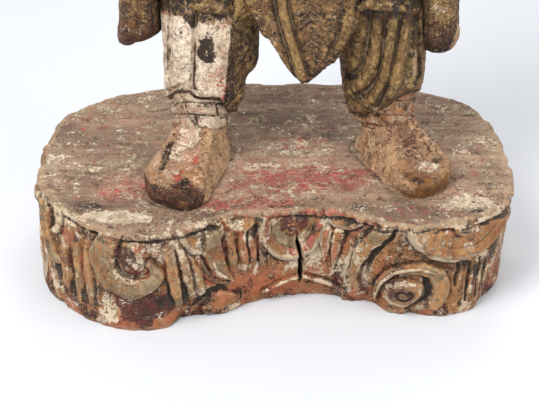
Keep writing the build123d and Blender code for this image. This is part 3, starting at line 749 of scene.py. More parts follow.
def carve(name, node, low, high, shape, detail=None, voxel=1.1, body="figure"):
    """Meshes a carved block and puts it in place of its CAD node."""
    size = voxel * COARSE
    low, high = np.array(low, float), np.array(high, float)
    axes = [np.arange(low[n] - 2 * size, high[n] + 2 * size, size, dtype=np.float32) for n in range(3)]
    x, y, z = np.meshgrid(*axes, indexing="ij")
    field = shape(x, y, z).astype(np.float32)
    if detail:
        near = abs(field) < 9
        field[near] -= detail(x[near], y[near], z[near])
    field = np.clip(field, -3 * size, 3 * size)
    for axis in range(3):
        edge = [slice(None)] * 3
        for end in (0, -1):
            edge[axis] = end
            field[tuple(edge)] = 3 * size
    grid = openvdb.FloatGrid(3 * size)
    grid.copyFromArray(field)
    points, quads = grid.convertToQuads(isovalue=0.0)
    verts = points * size + np.array([a[0] for a in axes])
    keep = largest_shell(len(verts), quads)
    names = np.cumsum(keep) - 1
    quads = names[quads[keep[quads[:, 0]]]][:, ::-1]
    return make_piece(name, node, verts[keep], quads.tolist(), body)


def largest_shell(count, quads):
    """Marks the points of the biggest connected shell, so that no crumbs are left."""
    label = np.arange(count)
    while True:
        lowest = label[quads].min(1)
        fresh = label.copy()
        for corner in range(4):
            np.minimum.at(fresh, quads[:, corner], lowest)
        fresh = fresh[fresh]
        if (fresh == label).all():
            break
        label = fresh
    return label == np.bincount(label).argmax()


def coat(piece, material, cover):
    """Stores the paint layers of a carved piece and gives it its material."""
    x, y, z = vertices_mm(piece).T
    for name, values in cover(x, y, z).items():
        set_layer(piece, name, values + 0 * x)
    set_hollows(piece)
    piece.data.materials.append(material)


def blob(x, y, z, centre, radii, cover):
    """Cover that is strongest at a centre and fades out at the radii."""
    q = sum(((v - c) / r) ** 2 for v, c, r in zip((x, y, z), centre, radii))
    return cover * step(1.0, 0.3, np.sqrt(q))


def blobs(x, y, z, *places):
    """The strongest of several blobs; a place is (centre, radii, cover)."""
    return most(*(blob(x, y, z, *place) for place in places))


def most(*values):
    """The highest of several values, point by point."""
    top = values[0]
    for value in values[1:]:
        top = np.maximum(top, value)
    return top


# ---------------------------------------------------------------- places, from the CAD
TENONS = box_mm("leg_tenons")
ANKLE = {"right": (TENONS[0][0] + 9, TENONS[0][1] + 7), "left": (TENONS[1][0] - 9, TENONS[1][1] - 7)}
ANKLE_Z = box_mm("right_leg")[0][2]
MIDDLE_X, MIDDLE_Y = (sum(box_mm("torso")[n][axis] for n in (0, 1)) / 2 for axis in (0, 1))
WAY = {"right": -1, "left": 1}


def knifed(x, y, z, seed, depth=0.5):
    """The slight unevenness that a knife leaves."""
    return depth * noise(x, y, z, seed, 9.0) + depth * 0.4 * noise(x, y, z, seed + 1, 3.0)


# ---------------------------------------------------------------- shoes
def shoe_axes(side, x, y):
    """Distance from the ankle towards the toe, and out from the shoe's middle line."""
    turn = TURN[side]
    dx, dy = x - ANKLE[side][0], y - ANKLE[side][1]
    toeward = dx * math.sin(turn) - dy * math.cos(turn)
    outward = WAY[side] * (dx * math.cos(turn) + dy * math.sin(turn))
    return toeward, outward


def make_shoe(side):
    low, high = box_mm(f"{side}_shoe")
    toe, heel, half = sole_line(side)
    toe_u = shoe_axes(side, *toe)[0]
    heel_u = shoe_axes(side, *heel)[0]

    def shape(x, y, z):
        u, v = shoe_axes(side, x, y)
        w = z - TOP_Z
        toe_shift, heel_shift = {"right": (3.2, -0.5), "left": (4.0, 1.5)}[side]
        v = v - heel_shift - toe_shift * step(10, 70, u)
        u = u + 0.34 * v * step(36, 74, u)
        places = (heel_u, 0, 34, toe_u - 6, toe_u + 16)
        outer, inner = np.interp(u, places, (22, 19, 21, 27.5, 27)), np.interp(u, places,
                                                                               (22, 24.5, 27, 29.5, 28))
        beyond = abs(u - np.clip(u, heel_u, toe_u))
        plan = (beyond**2.7 + abs(v) ** 2.7) ** (1 / 2.7) - np.where(v > 0, outer, inner)
        toe = step(toe_u - 14, toe_u + 8, u)
        lean = (0.24 - 0.14 * np.tanh(v / 8)) * (1 - toe) - 0.10 * toe
        wall = plan + 1.8 * toe + lean * w + 1.2 * step(5, 0, w)
        crown = np.interp(u, (heel_u, 12, 26, 48, toe_u - 2, toe_u + half), (46, 42, 31, 24, 17.5, 14.5))
        top = w - crown - 0.05 * v + 0.004 * (v - 8) ** 2
        sole = join_max(join_max(wall, top, 3.0), -w - 3.0, 0.5)
        ankle = np.hypot(u / 1.06 - 0.5, v - 2.0) - (21.6 + 0.01 * w)
        ankle = np.maximum(ankle, w - (ANKLE_Z - TOP_Z) - 4)
        return join(sole, np.maximum(ankle, -w - 3.0), 6.0)

    def detail(x, y, z):
        u, v = shoe_axes(side, x, y)
        w = z - TOP_Z
        ridge = raised_line(u, v, [(18, 16.0), (40, 18.0), (60, 20.0), (toe_u + 8, 20)], 8.0,
                            1.9) * step(9, 15, w)
        lengthwise = noise(u * 0.12, v, w * 0.5, 41, 3.4) * 0.3
        facets = -abs(noise(u * 0.4, v, w, 42, 16.0)) * 1.0
        nick = -2.2 * np.clip(rough(x, y, z, 43, 9.0) - 0.45, 0, 1)
        edge = -0.8 * step(2.2, 0.6, abs(w - 13.5)) * step(toe_u + 2, toe_u + 12, u)
        return ridge + lengthwise + facets + nick + edge + 0.4

    shoe = carve(f"shoe_{side}", f"{side}_shoe", low - (5, 5, 2), high + (5, 5, 5), shape,
                 detail, 0.9)

    def cover(x, y, z):
        u, v = shoe_axes(side, x, y)
        w = z - TOP_Z
        top = step(12, 20, w) * step(-18, -8, v)
        front = step(toe_u - 4, toe_u + 8, u + 0.34 * v) * step(17, 13, w)
        bare = 1 - front
        if side == "right":
            gesso = most(blobs(u, v, w, ((28, 2, 32), (30, 16, 20), 0.80),
                               ((48, 5, 25), (24, 13, 14), 0.7), ((70, 4, 18), (14, 12, 10), 0.5)))
            return {"gesso": most(gesso * bare, 0.24), "salmon": most(0.44 * top, 0.15) * bare,
                    "maroon": most(0.70 * front, 0.2), "wash": most(0.5 * front, 0.25 * step(-8, -15, v)),
                    "red": most(blobs(u, v, w, ((50, -11, 22), (12, 8, 10), 0.6),
                                      ((72, -2, 18), (12, 8, 10), 0.66))),
                    "dark": most(blobs(u, v, w, ((50, 14.5, 22), (52, 5, 18), 0.62),
                                       ((76, -9, 16), (9, 6, 9), 0.85)), front * 0.45, 0.16),
                    "ochre": 0.25 * front, "pale": step(-8, -15, v) * 0.55 * bare}
        return {"gesso": most(blobs(u, v, w, ((68, 9, 18), (17, 12, 12), 0.66),
                                    ((44, 19, 24), (46, 5, 20), 0.5)), 0.2),
                "salmon": most(0.22 * top, blob(u, v, w, (68, 6, 18), (18, 12, 12), 0.5)),
                "maroon": most(0.42 * top, 0.38 * front, 0.14),
                "wash": most(0.75 * step(-14, -6, v) * step(17, 9, v), 0.35),
                "red": blob(u, v, w, (68, 4, 18), (12, 8, 10), 0.35),
                "dark": most(blobs(u, v, w, ((80, -8, 12), (9, 7, 7), 0.62),
                                   ((66, 17, 18), (14, 7, 10), 0.5)), 0.16),
                "ochre": 0.55 * front, "pale": most(step(-10, -18, v) * 0.45,
                                                    blob(u, v, w, (40, 19, 24), (46, 5, 20), 0.55), 0.16)}
    coat(shoe, PAINTS["shoe_paint"], cover)


# ---------------------------------------------------------------- trouser legs
BANDS = {"right": ((127.5, 4.0), (137.0, 8.5), (145.5, 11.5)),
         "left": ((128.0, 4.0), (135.5, 5.5), (147.0, 9.0))}


def wraps(x, y, z, side):
    """Two cloth bands wound round the ankle: how far they stand out, and where they are painted dark: their
    seams, and painted shade in the pleats and along the lap.

    Their edges (height, rise at the front) fan out forwards.
    """
    ax, ay = ANKLE[side]
    angle = np.arctan2(y - ay, x - ax)
    front = np.clip((ay - y) / 22, 0, 1)
    wobble = 0.9 * np.sin(angle * 3 + 0.7)
    edges = [height + rise * front + wobble for height, rise in BANDS[side]]
    edges[0] = edges[0] - 3.0 * step(6, 1, abs(x - ax + 2)) * front
    bulge = 0
    seams = 0
    for low, high, swell in ((edges[0], edges[1], 3.4), (edges[1], edges[2], 3.6)):
        t = (z - low) / (high - low)
        bulge = bulge + swell * np.clip(1 - abs(2 * t - 1) ** 8, 0,
                                        1) * (0.9 + 0.1 * np.cos((2 * t - 1) * 1.4))
        seams = np.maximum(seams, step(1.5, 0.5, np.minimum(abs(z - low), abs(z - high))))
    wave = angle * 6.5 + 0.9 * np.sin(angle * 3) + 0.05 * (z - ANKLE_Z)
    wave = wave + 2.2 * step(edges[1] - 0.5, edges[1] + 0.5, z)
    inside = step(edges[0], edges[0] + 1.0, z) * step(edges[2] + 0.5, edges[2] - 0.5, z)
    pleat = np.clip(1 - abs(((wave / math.pi) % 2) - 1) * 9, 0, 1) * inside
    lap = -cut_line(x - ax, z, [(-10, 145), (-4, 138), (3, 131)], 3.0, 1.0) * front * inside
    return bulge - 1.4 * pleat - 1.8 * lap, most(pleat, lap, seams * (1 - 0.5 * inside))


def flakes(x, y, z, seed):
    """Thick flakes of ground standing off the wood."""
    return 0.9 * step(-0.05, 0.05, rough(x, y, z, seed, 6.0))


def hem_right(x, y):
    hem = 146 - 0.52 * np.clip(y, -38, 16) - 11.5 * step(-46, -38, x) + 6 * step(-65, -70, x) * step(-90,
                                                                                                     -80, x)
    return hem + 2.5 * step(-60, -68, x) * step(-72, -64, x)


def hem_left(x, y):
    return 133 - 0.52 * np.clip(y, -36, 8) + 20 * step(80, 113, x)


def leg_right(x, y, z):
    """Trouser leg with two flat front panels and a sharp inner edge."""
    ax, ay = ANKLE["right"]
    core = loft(x, y, z, [(ANKLE_Z - 6, ax, ay, 21.0, 20.0), (150, ax, ay, 21.5, 20.5),
                          (165, ax, ay, 26, 25), (260, ax, ay, 20, 20)])
    core = core - wraps(x, y, z, "right")[0] - flakes(x, y, z, 55) * step(146, 150, z + 0.5 * y + 10)
    trousers = loft(x, y, z, [(120, -58, ay, 27, 25), (134, -58.5, ay, 28, 25.5),
                              (150, -59.5, ay + 1, 30.5, 26.5),
                              (165, -57.5, ay + 3, 34.0, 30.5), (190, -53.0, ay + 5, 38.0, 33.0),
                              (206, -47.5, ay + 7, 44.5, 34.5),
                              (248, -46, 4, 46, 36)], 2.7)
    corner = 0.70 * (x + 41.5 - 0.11 * (z - 160)) - 0.71 * (y + 33.0 + 0.02 * (z - 160))
    trousers = join_max(trousers, corner - 1.0, 2.0)
    trousers = join_max(trousers, hem_right(x, y) - z + 0.8 * noise(x, y, 0, 51, 7.0), 2.0)
    return join(core, trousers, 1.0)


def leg_right_detail(x, y, z):
    ay = ANKLE["right"][1]
    front = step(ay - 4, ay - 16, y)
    body = step(-1, 4, z - hem_right(x, y))
    lines = cut_lines(x, z, (
        ([(-62, 242), (-64.5, 190), (-66, 176), (-62, 164)], 5.0, 3.8),
        ([(-82, 242), (-85, 190), (-87.5, 176), (-84, 166)], 4.5, 3.2),
        ([(-92, 158), (-84, 166), (-73, 176)], 5.0, 3.2),
        ([(-72, 166), (-66, 171), (-58, 169)], 3.5, 2.0),
    ))
    panel = 1.6 * np.sqrt(np.clip(1 - ((x + 53) / 11.5) ** 2, 0,
                                  1)) + 1.4 * np.sqrt(np.clip(1 - ((x + 75) / 10.0) ** 2, 0, 1))
    inner = step(-42, -36, x)
    slope = x * 0.5 + z * 0.30 + 2.5 * noise(x, y, z, 58, 30.0)
    folds = (1.6 * np.sin(slope * 0.42) - 1.6 * np.clip(1 - abs((slope * 0.0668) % 1 - 0.5) * 9, 0,
                                                        1)) * inner
    back = step(ay + 2, ay + 14, y) * 1.8 * np.sin((x + 0.25 * z) * 0.36)
    scuffs = 0.35 * step(-0.1, 0.1, rough(x, y, z, 59, 9.0))
    return ((lines + panel * 0.8) * front + folds + back + scuffs) * body + knifed(x, y, z, 52)


def leg_left(x, y, z):
    """Trouser leg whose folds sweep down to the inner side, with a slanting hem."""
    ax, ay = ANKLE["left"]
    core = loft(x, y, z, [(ANKLE_Z - 6, ax, ay, 21.5, 20.0), (148, ax, ay, 22.5, 21),
                          (160, ax, ay, 27, 26), (260, ax, ay, 20, 20)])
    core = core - wraps(x, y, z, "left")[0] - flakes(x, y, z, 57) * step(140, 144, z + 0.3 * y + 6)
    trousers = loft(x, y, z, [(120, 90, ay, 26, 25), (134, 90, ay, 27, 26), (142, 89.5, ay, 28.5, 27),
                              (156, 89.5, ay + 1, 32.5, 30.5),
                              (172, 89.8, ay + 2, 34.6, 32.5), (190, 88.6, ay + 3, 35.8, 34),
                              (212, 86, ay + 4, 36.5, 35),
                              (248, 84, 4, 37, 36)], 2.35)
    trousers = join_max(trousers, hem_left(x, y) - z + 0.8 * noise(x, y, 0, 53, 7.0), 2.0)
    return join(core, trousers, 1.0)


def leg_left_detail(x, y, z):
    ay = ANKLE["left"][1]
    front = step(ay + 2, ay - 14, y)
    body = step(-1, 4, z - hem_left(x, y))
    lines = cut_lines(x, z, (
        ([(87, 240), (86, 196), (84, 182), (77, 168), (65, 156)], 7, 3.8),
        ([(101, 240), (95, 196), (92, 178), (86, 160), (82, 150)], 8, 4.2),
        ([(76, 240), (72, 194), (64, 178), (56, 172)], 7, 3.6),
        ([(110, 238), (106, 190), (104, 174), (100, 166)], 6, 2.6),
        ([(60, 178), (66, 166), (72, 158), (80, 152)], 6, 2.8),
    ))
    ridges = raised_lines(x, z, (
        ([(94, 240), (91, 196), (88, 178), (81, 162), (74, 152)], 8, 2.4),
        ([(82, 240), (79, 196), (75, 182), (66, 168), (60, 162)], 8, 2.2),
        ([(105, 240), (101, 192), (98, 174), (94, 162)], 9, 1.8),
    ))
    side_cut = cut_line(x, z, [(112, 240), (116, 192), (117, 178), (113, 170)], 5, 3.4)
    back = step(ay + 4, ay + 16, y) * 1.8 * np.sin((x - 0.25 * z) * 0.36)
    scuffs = 0.35 * step(-0.1, 0.1, rough(x, y, z, 60, 9.0))
    return ((lines + ridges + side_cut) * front + back + scuffs) * body + knifed(x, y, z, 54)


def make_legs():
    for side, shape, detail, slot in (("right", leg_right, leg_right_detail, "trouser_gesso"),
                                      ("left", leg_left, leg_left_detail, "trouser_lacquer")):
        low, high = box_mm(f"{side}_leg")
        leg = carve(f"leg_{side}", f"{side}_leg", low - (5, 5, 1), (high[0] + 5, high[1] + 5, 246),
                    shape, detail, 0.95)

        def cover(x, y, z, side=side):
            hem = z - (hem_right(x, y) if side == "right" else hem_left(x, y))
            band = step(1.0, -0.5, hem)
            seams = wraps(x, y, z, side)[1] * band
            # painted shadow just under the trouser hem
            hem_shadow = step(-2.8, -1.0, hem) * band
            behind = step(ANKLE[side][1] + 4, ANKLE[side][1] + 16, y)
            carved = (leg_right_detail if side == "right" else leg_left_detail)(x, y, z)
            # painted shade in the folds and cuts of the carving, and more gold on its ridges as a painted
            # highlight
            fold, crest = np.clip(-carved / 2.6 - 0.3, 0, 1), np.clip(carved / 2.4, 0, 1)
            # painted shadow of the coat over the top of the legs, dark with a little gold
            coat_shadow = step(228, 236, z + 7 * noise(x, y, z * 0.5, 56, 11.0) + 2 * noise(x, y, z, 57,
                                                                                           3.0))
            if side == "right":
                inner = step(-43, -40.5, x - 0.11 * (z - 160)) * (1 - band)
                outer = 1 - inner
                rim = step(0.5, 2.0, hem) * step(7.0, 4.0, hem)
                gesso = most((0.88 + 0.06 * rim) * outer * (1 - 0.6 * behind)
                             * (1 - coat_shadow) * (1 - band),
                             0.96 * band * outer * (1 - hem_shadow), 0.18)
                spot = (-54 + 7 * noise(x, y, z, 69, 10.0), -38, 207 + 8 * noise(x, y, z, 70, 9.0))
                dark = most(inner * 0.72, 0.7 * fold * (1 - band), behind * 0.6 * (1 - band),
                            0.66 * coat_shadow, seams * 0.9, 0.9 * hem_shadow,
                            blobs(x, y, z, (spot, (11, 16, 13), 0.9), ((-64, -38, 226), (5, 14, 12), 0.8),
                                  ((-84, -38, 222), (5, 14, 8), 0.7)), 0.17 * outer)
                stain = blob(x, y, z, (-43, -34, 172), (10, 14, 30), 0.5)
                golden = blob(x, y, z, (-60, -30, 134), (10, 16, 6), 0.8)
                return {"gesso": gesso * (1 - 0.6 * golden),
                        "salmon": most(0.30 * outer, 0.36 * band * outer), "dark": dark,
                        "gold": inner * (0.26 + 0.20 * step(-36, -30, x))
                        + behind * 0.25 * (1 - band) + 0.25 * coat_shadow,
                        "red": most(stain, 0.12 * outer), "wash": most(stain, 0.5 * golden),
                        "pale": 0.22 * band, "maroon": 0.16 * outer + 0.25 * inner}
            white = most(blobs(x, y, z, ((114, -22, 188), (5, 14, 20), 0.8),
                               ((83, -34, 150), (5, 10, 7), 1.0)))
            middle = blob(x, y, z, (99, -38, 188), (17, 24, 30), 0.24)
            return {"gesso": most(band * 0.70, white, 0.26), "salmon": band * 0.36,
                    "orange": band * 0.40 + 0.14,
                    "dark": most(0.50 * (1 - band) - middle + 0.45 * fold, 0.22 * band, seams * 0.8,
                                 hem_shadow * 0.9, 0.8 * coat_shadow),
                    "maroon": 0.28, "wash": 0.3 * band,
                    "gold": (0.46 + middle - 0.4 * fold + 0.2 * crest)
                    * (1 - band) * (1 - 0.6 * coat_shadow),
                    "pale": most(0.34 * band, white)}
        coat(leg, PAINTS[slot], cover)


# ---------------------------------------------------------------- coat skirt and apron
def outline_gap(a, b, outline):
    """Signed distance from a closed outline in a plane: negative inside it."""
    best, inside = np.full(a.shape, 1e3, np.float32), np.zeros(a.shape, bool)
    for (a0, b0), (a1, b1) in zip(outline, outline[1:] + outline[:1]):
        da, db = a1 - a0, b1 - b0
        t = np.clip(((a - a0) * da + (b - b0) * db) / (da * da + db * db), 0, 1)
        best = np.minimum(best, np.hypot(a - a0 - da * t, b - b0 - db * t))
        crosses = (b0 > b) != (b1 > b)
        inside ^= crosses & (a < a0 + (b - b0) * da / (db if db else 1e-6))
    return np.where(inside, -best, best)


def around(x, y):
    """Direction from the figure's middle; 0 points straight forwards, and it grows to the left."""
    return np.arctan2(x - MIDDLE_X, MIDDLE_Y - y)


def skirt_hem(x, y):
    turn = around(x, y)
    front = 237 + 2.0 * np.sin(turn * 9) + 3 * step(0.9, 0.6, abs(turn))
    return front - 28 * step(1.1, 1.9, abs(turn)) - 3 * np.sin(turn * 13) * step(1.5, 2.0, abs(turn))


def skirt_shape(x, y, z):
    sections = rows_over(MIDDLE_X, MIDDLE_Y + 1, [(200, 108, 55), (230, 107, 54)])
    sections += rows_over(MIDDLE_X, MIDDLE_Y, [(283, 91, 50), (328, 72, 44), (366, 65, 41)])
    body = loft(x, y, z, sections, 2.15)
    body = join_max(body, skirt_hem(x, y) - z, 2.0)
    arch = ellipsoid(x, y, z, (MIDDLE_X, MIDDLE_Y - 16, 196), (60, 52, 44))
    under = ellipsoid(x, y, z, (MIDDLE_X, MIDDLE_Y, 200), (96, 44, 38))
    seat = np.maximum(np.maximum(abs(x - MIDDLE_X) - 49.5, y + 30.5), z - 338)
    return cut(cut(cut(body, seat, 1.0), arch, 3.0), under, 3.0)


def skirt_detail(x, y, z):
    turn = around(x, y)
    low = step(356, 300, z)
    sway = 0.16 * noise(turn * 2, z * 0.012, 0 * z, 61) + (z - 230) * 0.0006
    fold = np.cos((turn + sway) * 10)
    deep = -3.4 * np.clip(1 - abs(((turn + sway) * 10 / (2 * math.pi)) % 1 - 0.5) * 12, 0, 1)
    behind_apron = step(0.35, 0.75, abs(turn))
    hem_band = 1.5 * step(0, 1.5, z - skirt_hem(x, y)) * step(7, 5.5, z - skirt_hem(x, y))
    return (1.8 * fold + deep) * low * behind_apron + hem_band + knifed(x, y, z, 62)


# two ribs of the apron, measured from its tip
LONG_RIB = [(-1, 5), (-6, 25), (-13, 48), (-19, 80), (-22, 150)]
EDGE_RIB = [(22, 22), (28, 32), (33, 48), (36, 90), (26, 150)]


def apron_places():
    """Lowest and highest corner of the apron, and the place (x, z) of its tip."""
    low, high = box_mm("apron_panel")
    tip = (23.0, low[2])
    return low, high, tip


def apron_shape(x, y, z):
    low, high, tip = apron_places()
    outline = [(-2, 0), (3, 0), (12, 8), (29, 26), (43, 48), (43, 90), (31, 152), (-45, 152), (-51, 90),
               (-46, 68), (-31, 44),
               (-13, 14)]
    edge = outline_gap(x - tip[0], z - tip[1], outline)
    belly = 1.6 * step(20, 60, z - tip[1])
    front = low[1] - belly + 0.004 * (x - tip[0]) ** 2 + 3.5 * step(25, 0, z - tip[1])
    back = np.interp(z - tip[1], (0, 25, 60), (low[1] + 11, low[1] + 13, high[1] + 1))
    return join_max(join_max(edge + 0.7 * noise(x, z, 0 * z, 64, 8.0), front - y, 2.4), y - back, 1.0)


def apron_detail(x, y, z):
    _, high, tip = apron_places()
    a, b = x - tip[0], z - tip[1]
    front = step(high[1] - 2, high[1] - 5, y)
    rib = raised_line(a, b, LONG_RIB, 6.5, 3.0)
    beside_rib = cut_line(a, b, [(3.5, 6), (-1, 25), (-8, 48), (-14, 80), (-17, 150)], 4.0, 3.2)
    beside_rib = beside_rib + cut_line(a, b, [(-6, 9), (-12, 26), (-19, 48), (-25, 80), (-28, 150)], 4.0,
                                       3.0)
    edge_rib = raised_line(a, b, EDGE_RIB, 6.5, 2.6)
    edge_rib = edge_rib + cut_line(a, b, [(16, 20), (22, 32), (27, 48), (30, 90), (20, 150)], 4.0, 2.8)
    middle = np.interp(b, (0, 25, 48, 150), (1, 6, 5, 2))
    width = np.interp(b, (0, 20, 48, 150), (2, 7, 12, 14))
    inside = step(width, width - 1.5, abs(a - middle))
    scale = ((b + 0.9 * abs(a - middle)) / 6.5) % 1
    scales = 1.7 * (scale - 0.5) * inside * step(-0.9, 0.1, noise(x, y, z, 67, 16.0))
    hatch = 0.45 * np.sin((a * 0.6 + b) * 1.1 + 2 * noise(x, y, z, 68, 14.0)) * step(width, width + 2,
            a - middle) * step(6, 16, b)
    knots = 2.8 * step(9, 3, np.hypot(a + 30, b - 47)) + 2.4 * step(8, 3, np.hypot(a - 30, b - 70))
    clasp = 3.0 * step(13, 10, abs(b - 128)) * step(30, 26, abs(a + 6))
    return (rib + beside_rib + edge_rib + scales + hatch + knots + clasp) * front + knifed(x, y, z, 65)


def make_coat():
    low, high = box_mm("coat_skirt")
    skirt = carve("coat_skirt_carved", "coat_skirt", (low[0] - 4, low[1] - 6, low[2] - 4),
                  (high[0] + 4, high[1] + 5, high[2] + 3), skirt_shape, skirt_detail, 1.35)

    def skirt_cover(x, y, z):
        above = z - skirt_hem(x, y)
        band = step(0, 1.5, above) * step(7.5, 6, above)
        return {"gold": 0.42 + 0.2 * band, "dark": 0.55 - 0.2 * band, "maroon": 0.40, "orange": 0.28,
                "gesso": 0.10 + 0.3 * step(0.2, 0.7, noise(x, y, z, 66, 30.0))}
    coat(skirt, PAINTS["coat_lacquer"], skirt_cover)

    low, high = box_mm("apron_panel")
    apron = carve("apron", "apron_panel", low - (3, 6, 2), high + (4, 3, 3), apron_shape,
                  apron_detail, 0.85)

    def apron_cover(x, y, z):
        _, _, tip = apron_places()
        a, b = x - tip[0], z - tip[1]
        rib, _ = line_gap(a, b, LONG_RIB)
        edge, _ = line_gap(a, b, EDGE_RIB)
        lower_right = step(9, 3, (b - 0.92 * a) * 0.74) * step(2, 8, b)
        behind = step(low[1] + 6, low[1] + 10, y)
        ribs = most(step(4.5, 2.5, rib), step(4.5, 2.5, edge))
        # painted shade in the cuts beside the ribs and in the folds
        beside = step(2.4, 1.0, abs(rib - 5.0)) + step(2.0, 1.0, abs(edge - 5.0))
        fold = np.clip(-apron_detail(x, y, z) / 2.2, 0, 1) * (1 - ribs)
        return {"gold": most(0.40, 0.66 * ribs) * (1 - 0.5 * lower_right) * (1 - behind) * (1 - 0.5 * fold),
                "dark": most(0.42 * (1 - ribs) + 0.35 * fold, 0.62 * beside, 0.52 * lower_right,
                             0.8 * step(9, 3, b), behind * 0.7),
                "salmon": blob(x, y, z, (tip[0] - 24, low[1], tip[1] + 42), (7, 20, 14), 0.72),
                "orange": most(0.26, 0.5 * ribs),
                "gesso": 0.16 + 0 * x}
    coat(apron, PAINTS["worn_gilding"], apron_cover)


# ---------------------------------------------------------------- torso, cover and what the cavity holds
def torso_form(x, y, z):
    rows = [(352, 65, 41), (360, 65, 41), (393, 69, 43), (438, 79, 49), (476, 80, 45), (500, 64, 35),
            (516, 27, 24), (521, 23, 21)]
    return loft(x, y, z, rows_over(MIDDLE_X, MIDDLE_Y, rows), 2.05)


def torso_detail(x, y, z):
    a, turn = x - MIDDLE_X, around(x, y)
    front = step(MIDDLE_Y - 4, MIDDLE_Y - 14, y)
    belt = 3.6 * step(359, 361, z) * step(379, 377, z)
    plaques = 1.6 * step(7.5, 6.5, abs(((turn + 0.001) * 62) % 21 - 10.5)) * step(361, 363, z) * step(377,
            375, z)
    collar = [(-26, 514), (-18, 498), (-2, 470), (18, 438), (40, 396), (48, 380)]
    under_collar = [(26, 514), (19, 498), (8, 482), (-2, 470)]
    bands = raised_line(a, z, collar, 15, 3.6) + cut_line(a, z, [(p[0] + 9, p[1]) for p in collar], 3, 2.0)
    bands = np.maximum(bands, raised_line(a, z, under_collar, 14, 3.0))
    sweep = 0.15 * (abs(a) * 1.15 - 0.55 * (z - 380)) + 1.1 * noise(x, y, z, 71, 40.0)
    folds = (1.9 * np.sin(sweep) - 1.8 * np.clip(1 - abs((sweep / (2 * math.pi)) % 1 - 0.5) * 8, 0,
                                                 1)) * step(500, 470, z)
    gathers = 1.2 * np.sin(turn * 26) * step(405, 384, z) * step(379, 383, z)
    neck_ring = 2.4 * step(506, 509, z) * step(519, 516, z)
    back = step(MIDDLE_Y + 8, MIDDLE_Y + 20, y)
    draped = 1.5 * np.cos(0.075 * np.hypot(a, (z - 520) * 0.9) * 2.0) * back * step(388, 396,
                                                                                    z) * step(505, 490, z)
    carved = (bands + folds * step(2.5, 0.5, bands)) * front + belt + plaques + gathers + neck_ring + draped
    return carved + knifed(x, y, z, 72)


def mouth_prism(x, z, half_extra):
    """Outline of the cover: a rounded rectangle, this much bigger than the CAD cover on each side."""
    low, high = box_mm("cavity_cover")
    cx, cz = (low[0] + high[0]) / 2, (low[2] + high[2]) / 2
    hx, hz = (high[0] - low[0]) / 2 + half_extra, (high[2] - low[2]) / 2 + half_extra
    corner = 8.0
    qx, qz = abs(x - cx) - hx + corner, abs(z - cz) - hz + corner
    return np.hypot(np.maximum(qx, 0), np.maximum(qz, 0)) + np.minimum(np.maximum(qx, qz), 0) - corner


def torso_field(x, y, z):
    low, _ = box_mm("cavity_cover")
    body = torso_form(x, y, z) - torso_detail(x, y, z)
    rebate = np.maximum(mouth_prism(x, z, 0.3), low[1] - 0.05 - y)
    cavity = np.maximum(mouth_prism(x, z, -5.8), 12.0 - y)
    return np.maximum(np.maximum(body, -rebate), -cavity)


def cover_field(x, y, z):
    low, _ = box_mm("cavity_cover")
    body = torso_form(x, y, z) - torso_detail(x, y, z) + 0.15
    return join_max(join_max(body, mouth_prism(x, z, -0.15), 0.6), low[1] + 0.3 - y, 0.4)


def garment_cover(x, y, z):
    """Dark lacquer with rubbed gold, and red and cream ground showing through."""
    patch = step(0.15, 0.6, noise(x, y, z, 73, 34.0))
    return {"gold": 0.44 + 0.16 * patch, "dark": 0.52 - 0.2 * patch, "maroon": 0.40, "orange": 0.28,
            "gesso": 0.18 + 0.26 * patch}


def make_torso():
    low, high = box_mm("torso")
    torso = carve("torso_carved", "torso", low - (4, 6, 2), high + (4, 5, 5), torso_field,
                  None, 1.35)

    def torso_cover(x, y, z):
        cover = garment_cover(x, y, z)
        belt = step(359, 361, z) * step(381, 379, z)
        neck = step(505, 509, z)
        hollow = step(2, -2, mouth_prism(x, z, -5.0)) * step(10, 13, y) * step(49, 44, y)
        cover["gold"] = most(cover["gold"], 0.8 * belt, 0.6 * neck) * (1 - hollow)
        cover["dark"] = cover["dark"] * (1 - belt) * (1 - hollow)
        cover["maroon"] = cover["maroon"] * (1 - hollow)
        cover["orange"] = cover["orange"] * (1 - hollow)
        return cover
    coat(torso, PAINTS["coat_lacquer"], torso_cover)

    low, high = box_mm("cavity_cover")
    cover = carve("cavity_cover_carved", "cavity_cover", low - (2, 2, 2),
                  high + (2, 6, 2), cover_field,
                  None, 0.9, "cover")

    def lid_cover(x, y, z):
        layers = garment_cover(x, y, z)
        outer = step(50, 52, y)
        return {name: value * outer for name, value in layers.items()}
    coat(cover, PAINTS["coat_lacquer"], lid_cover)


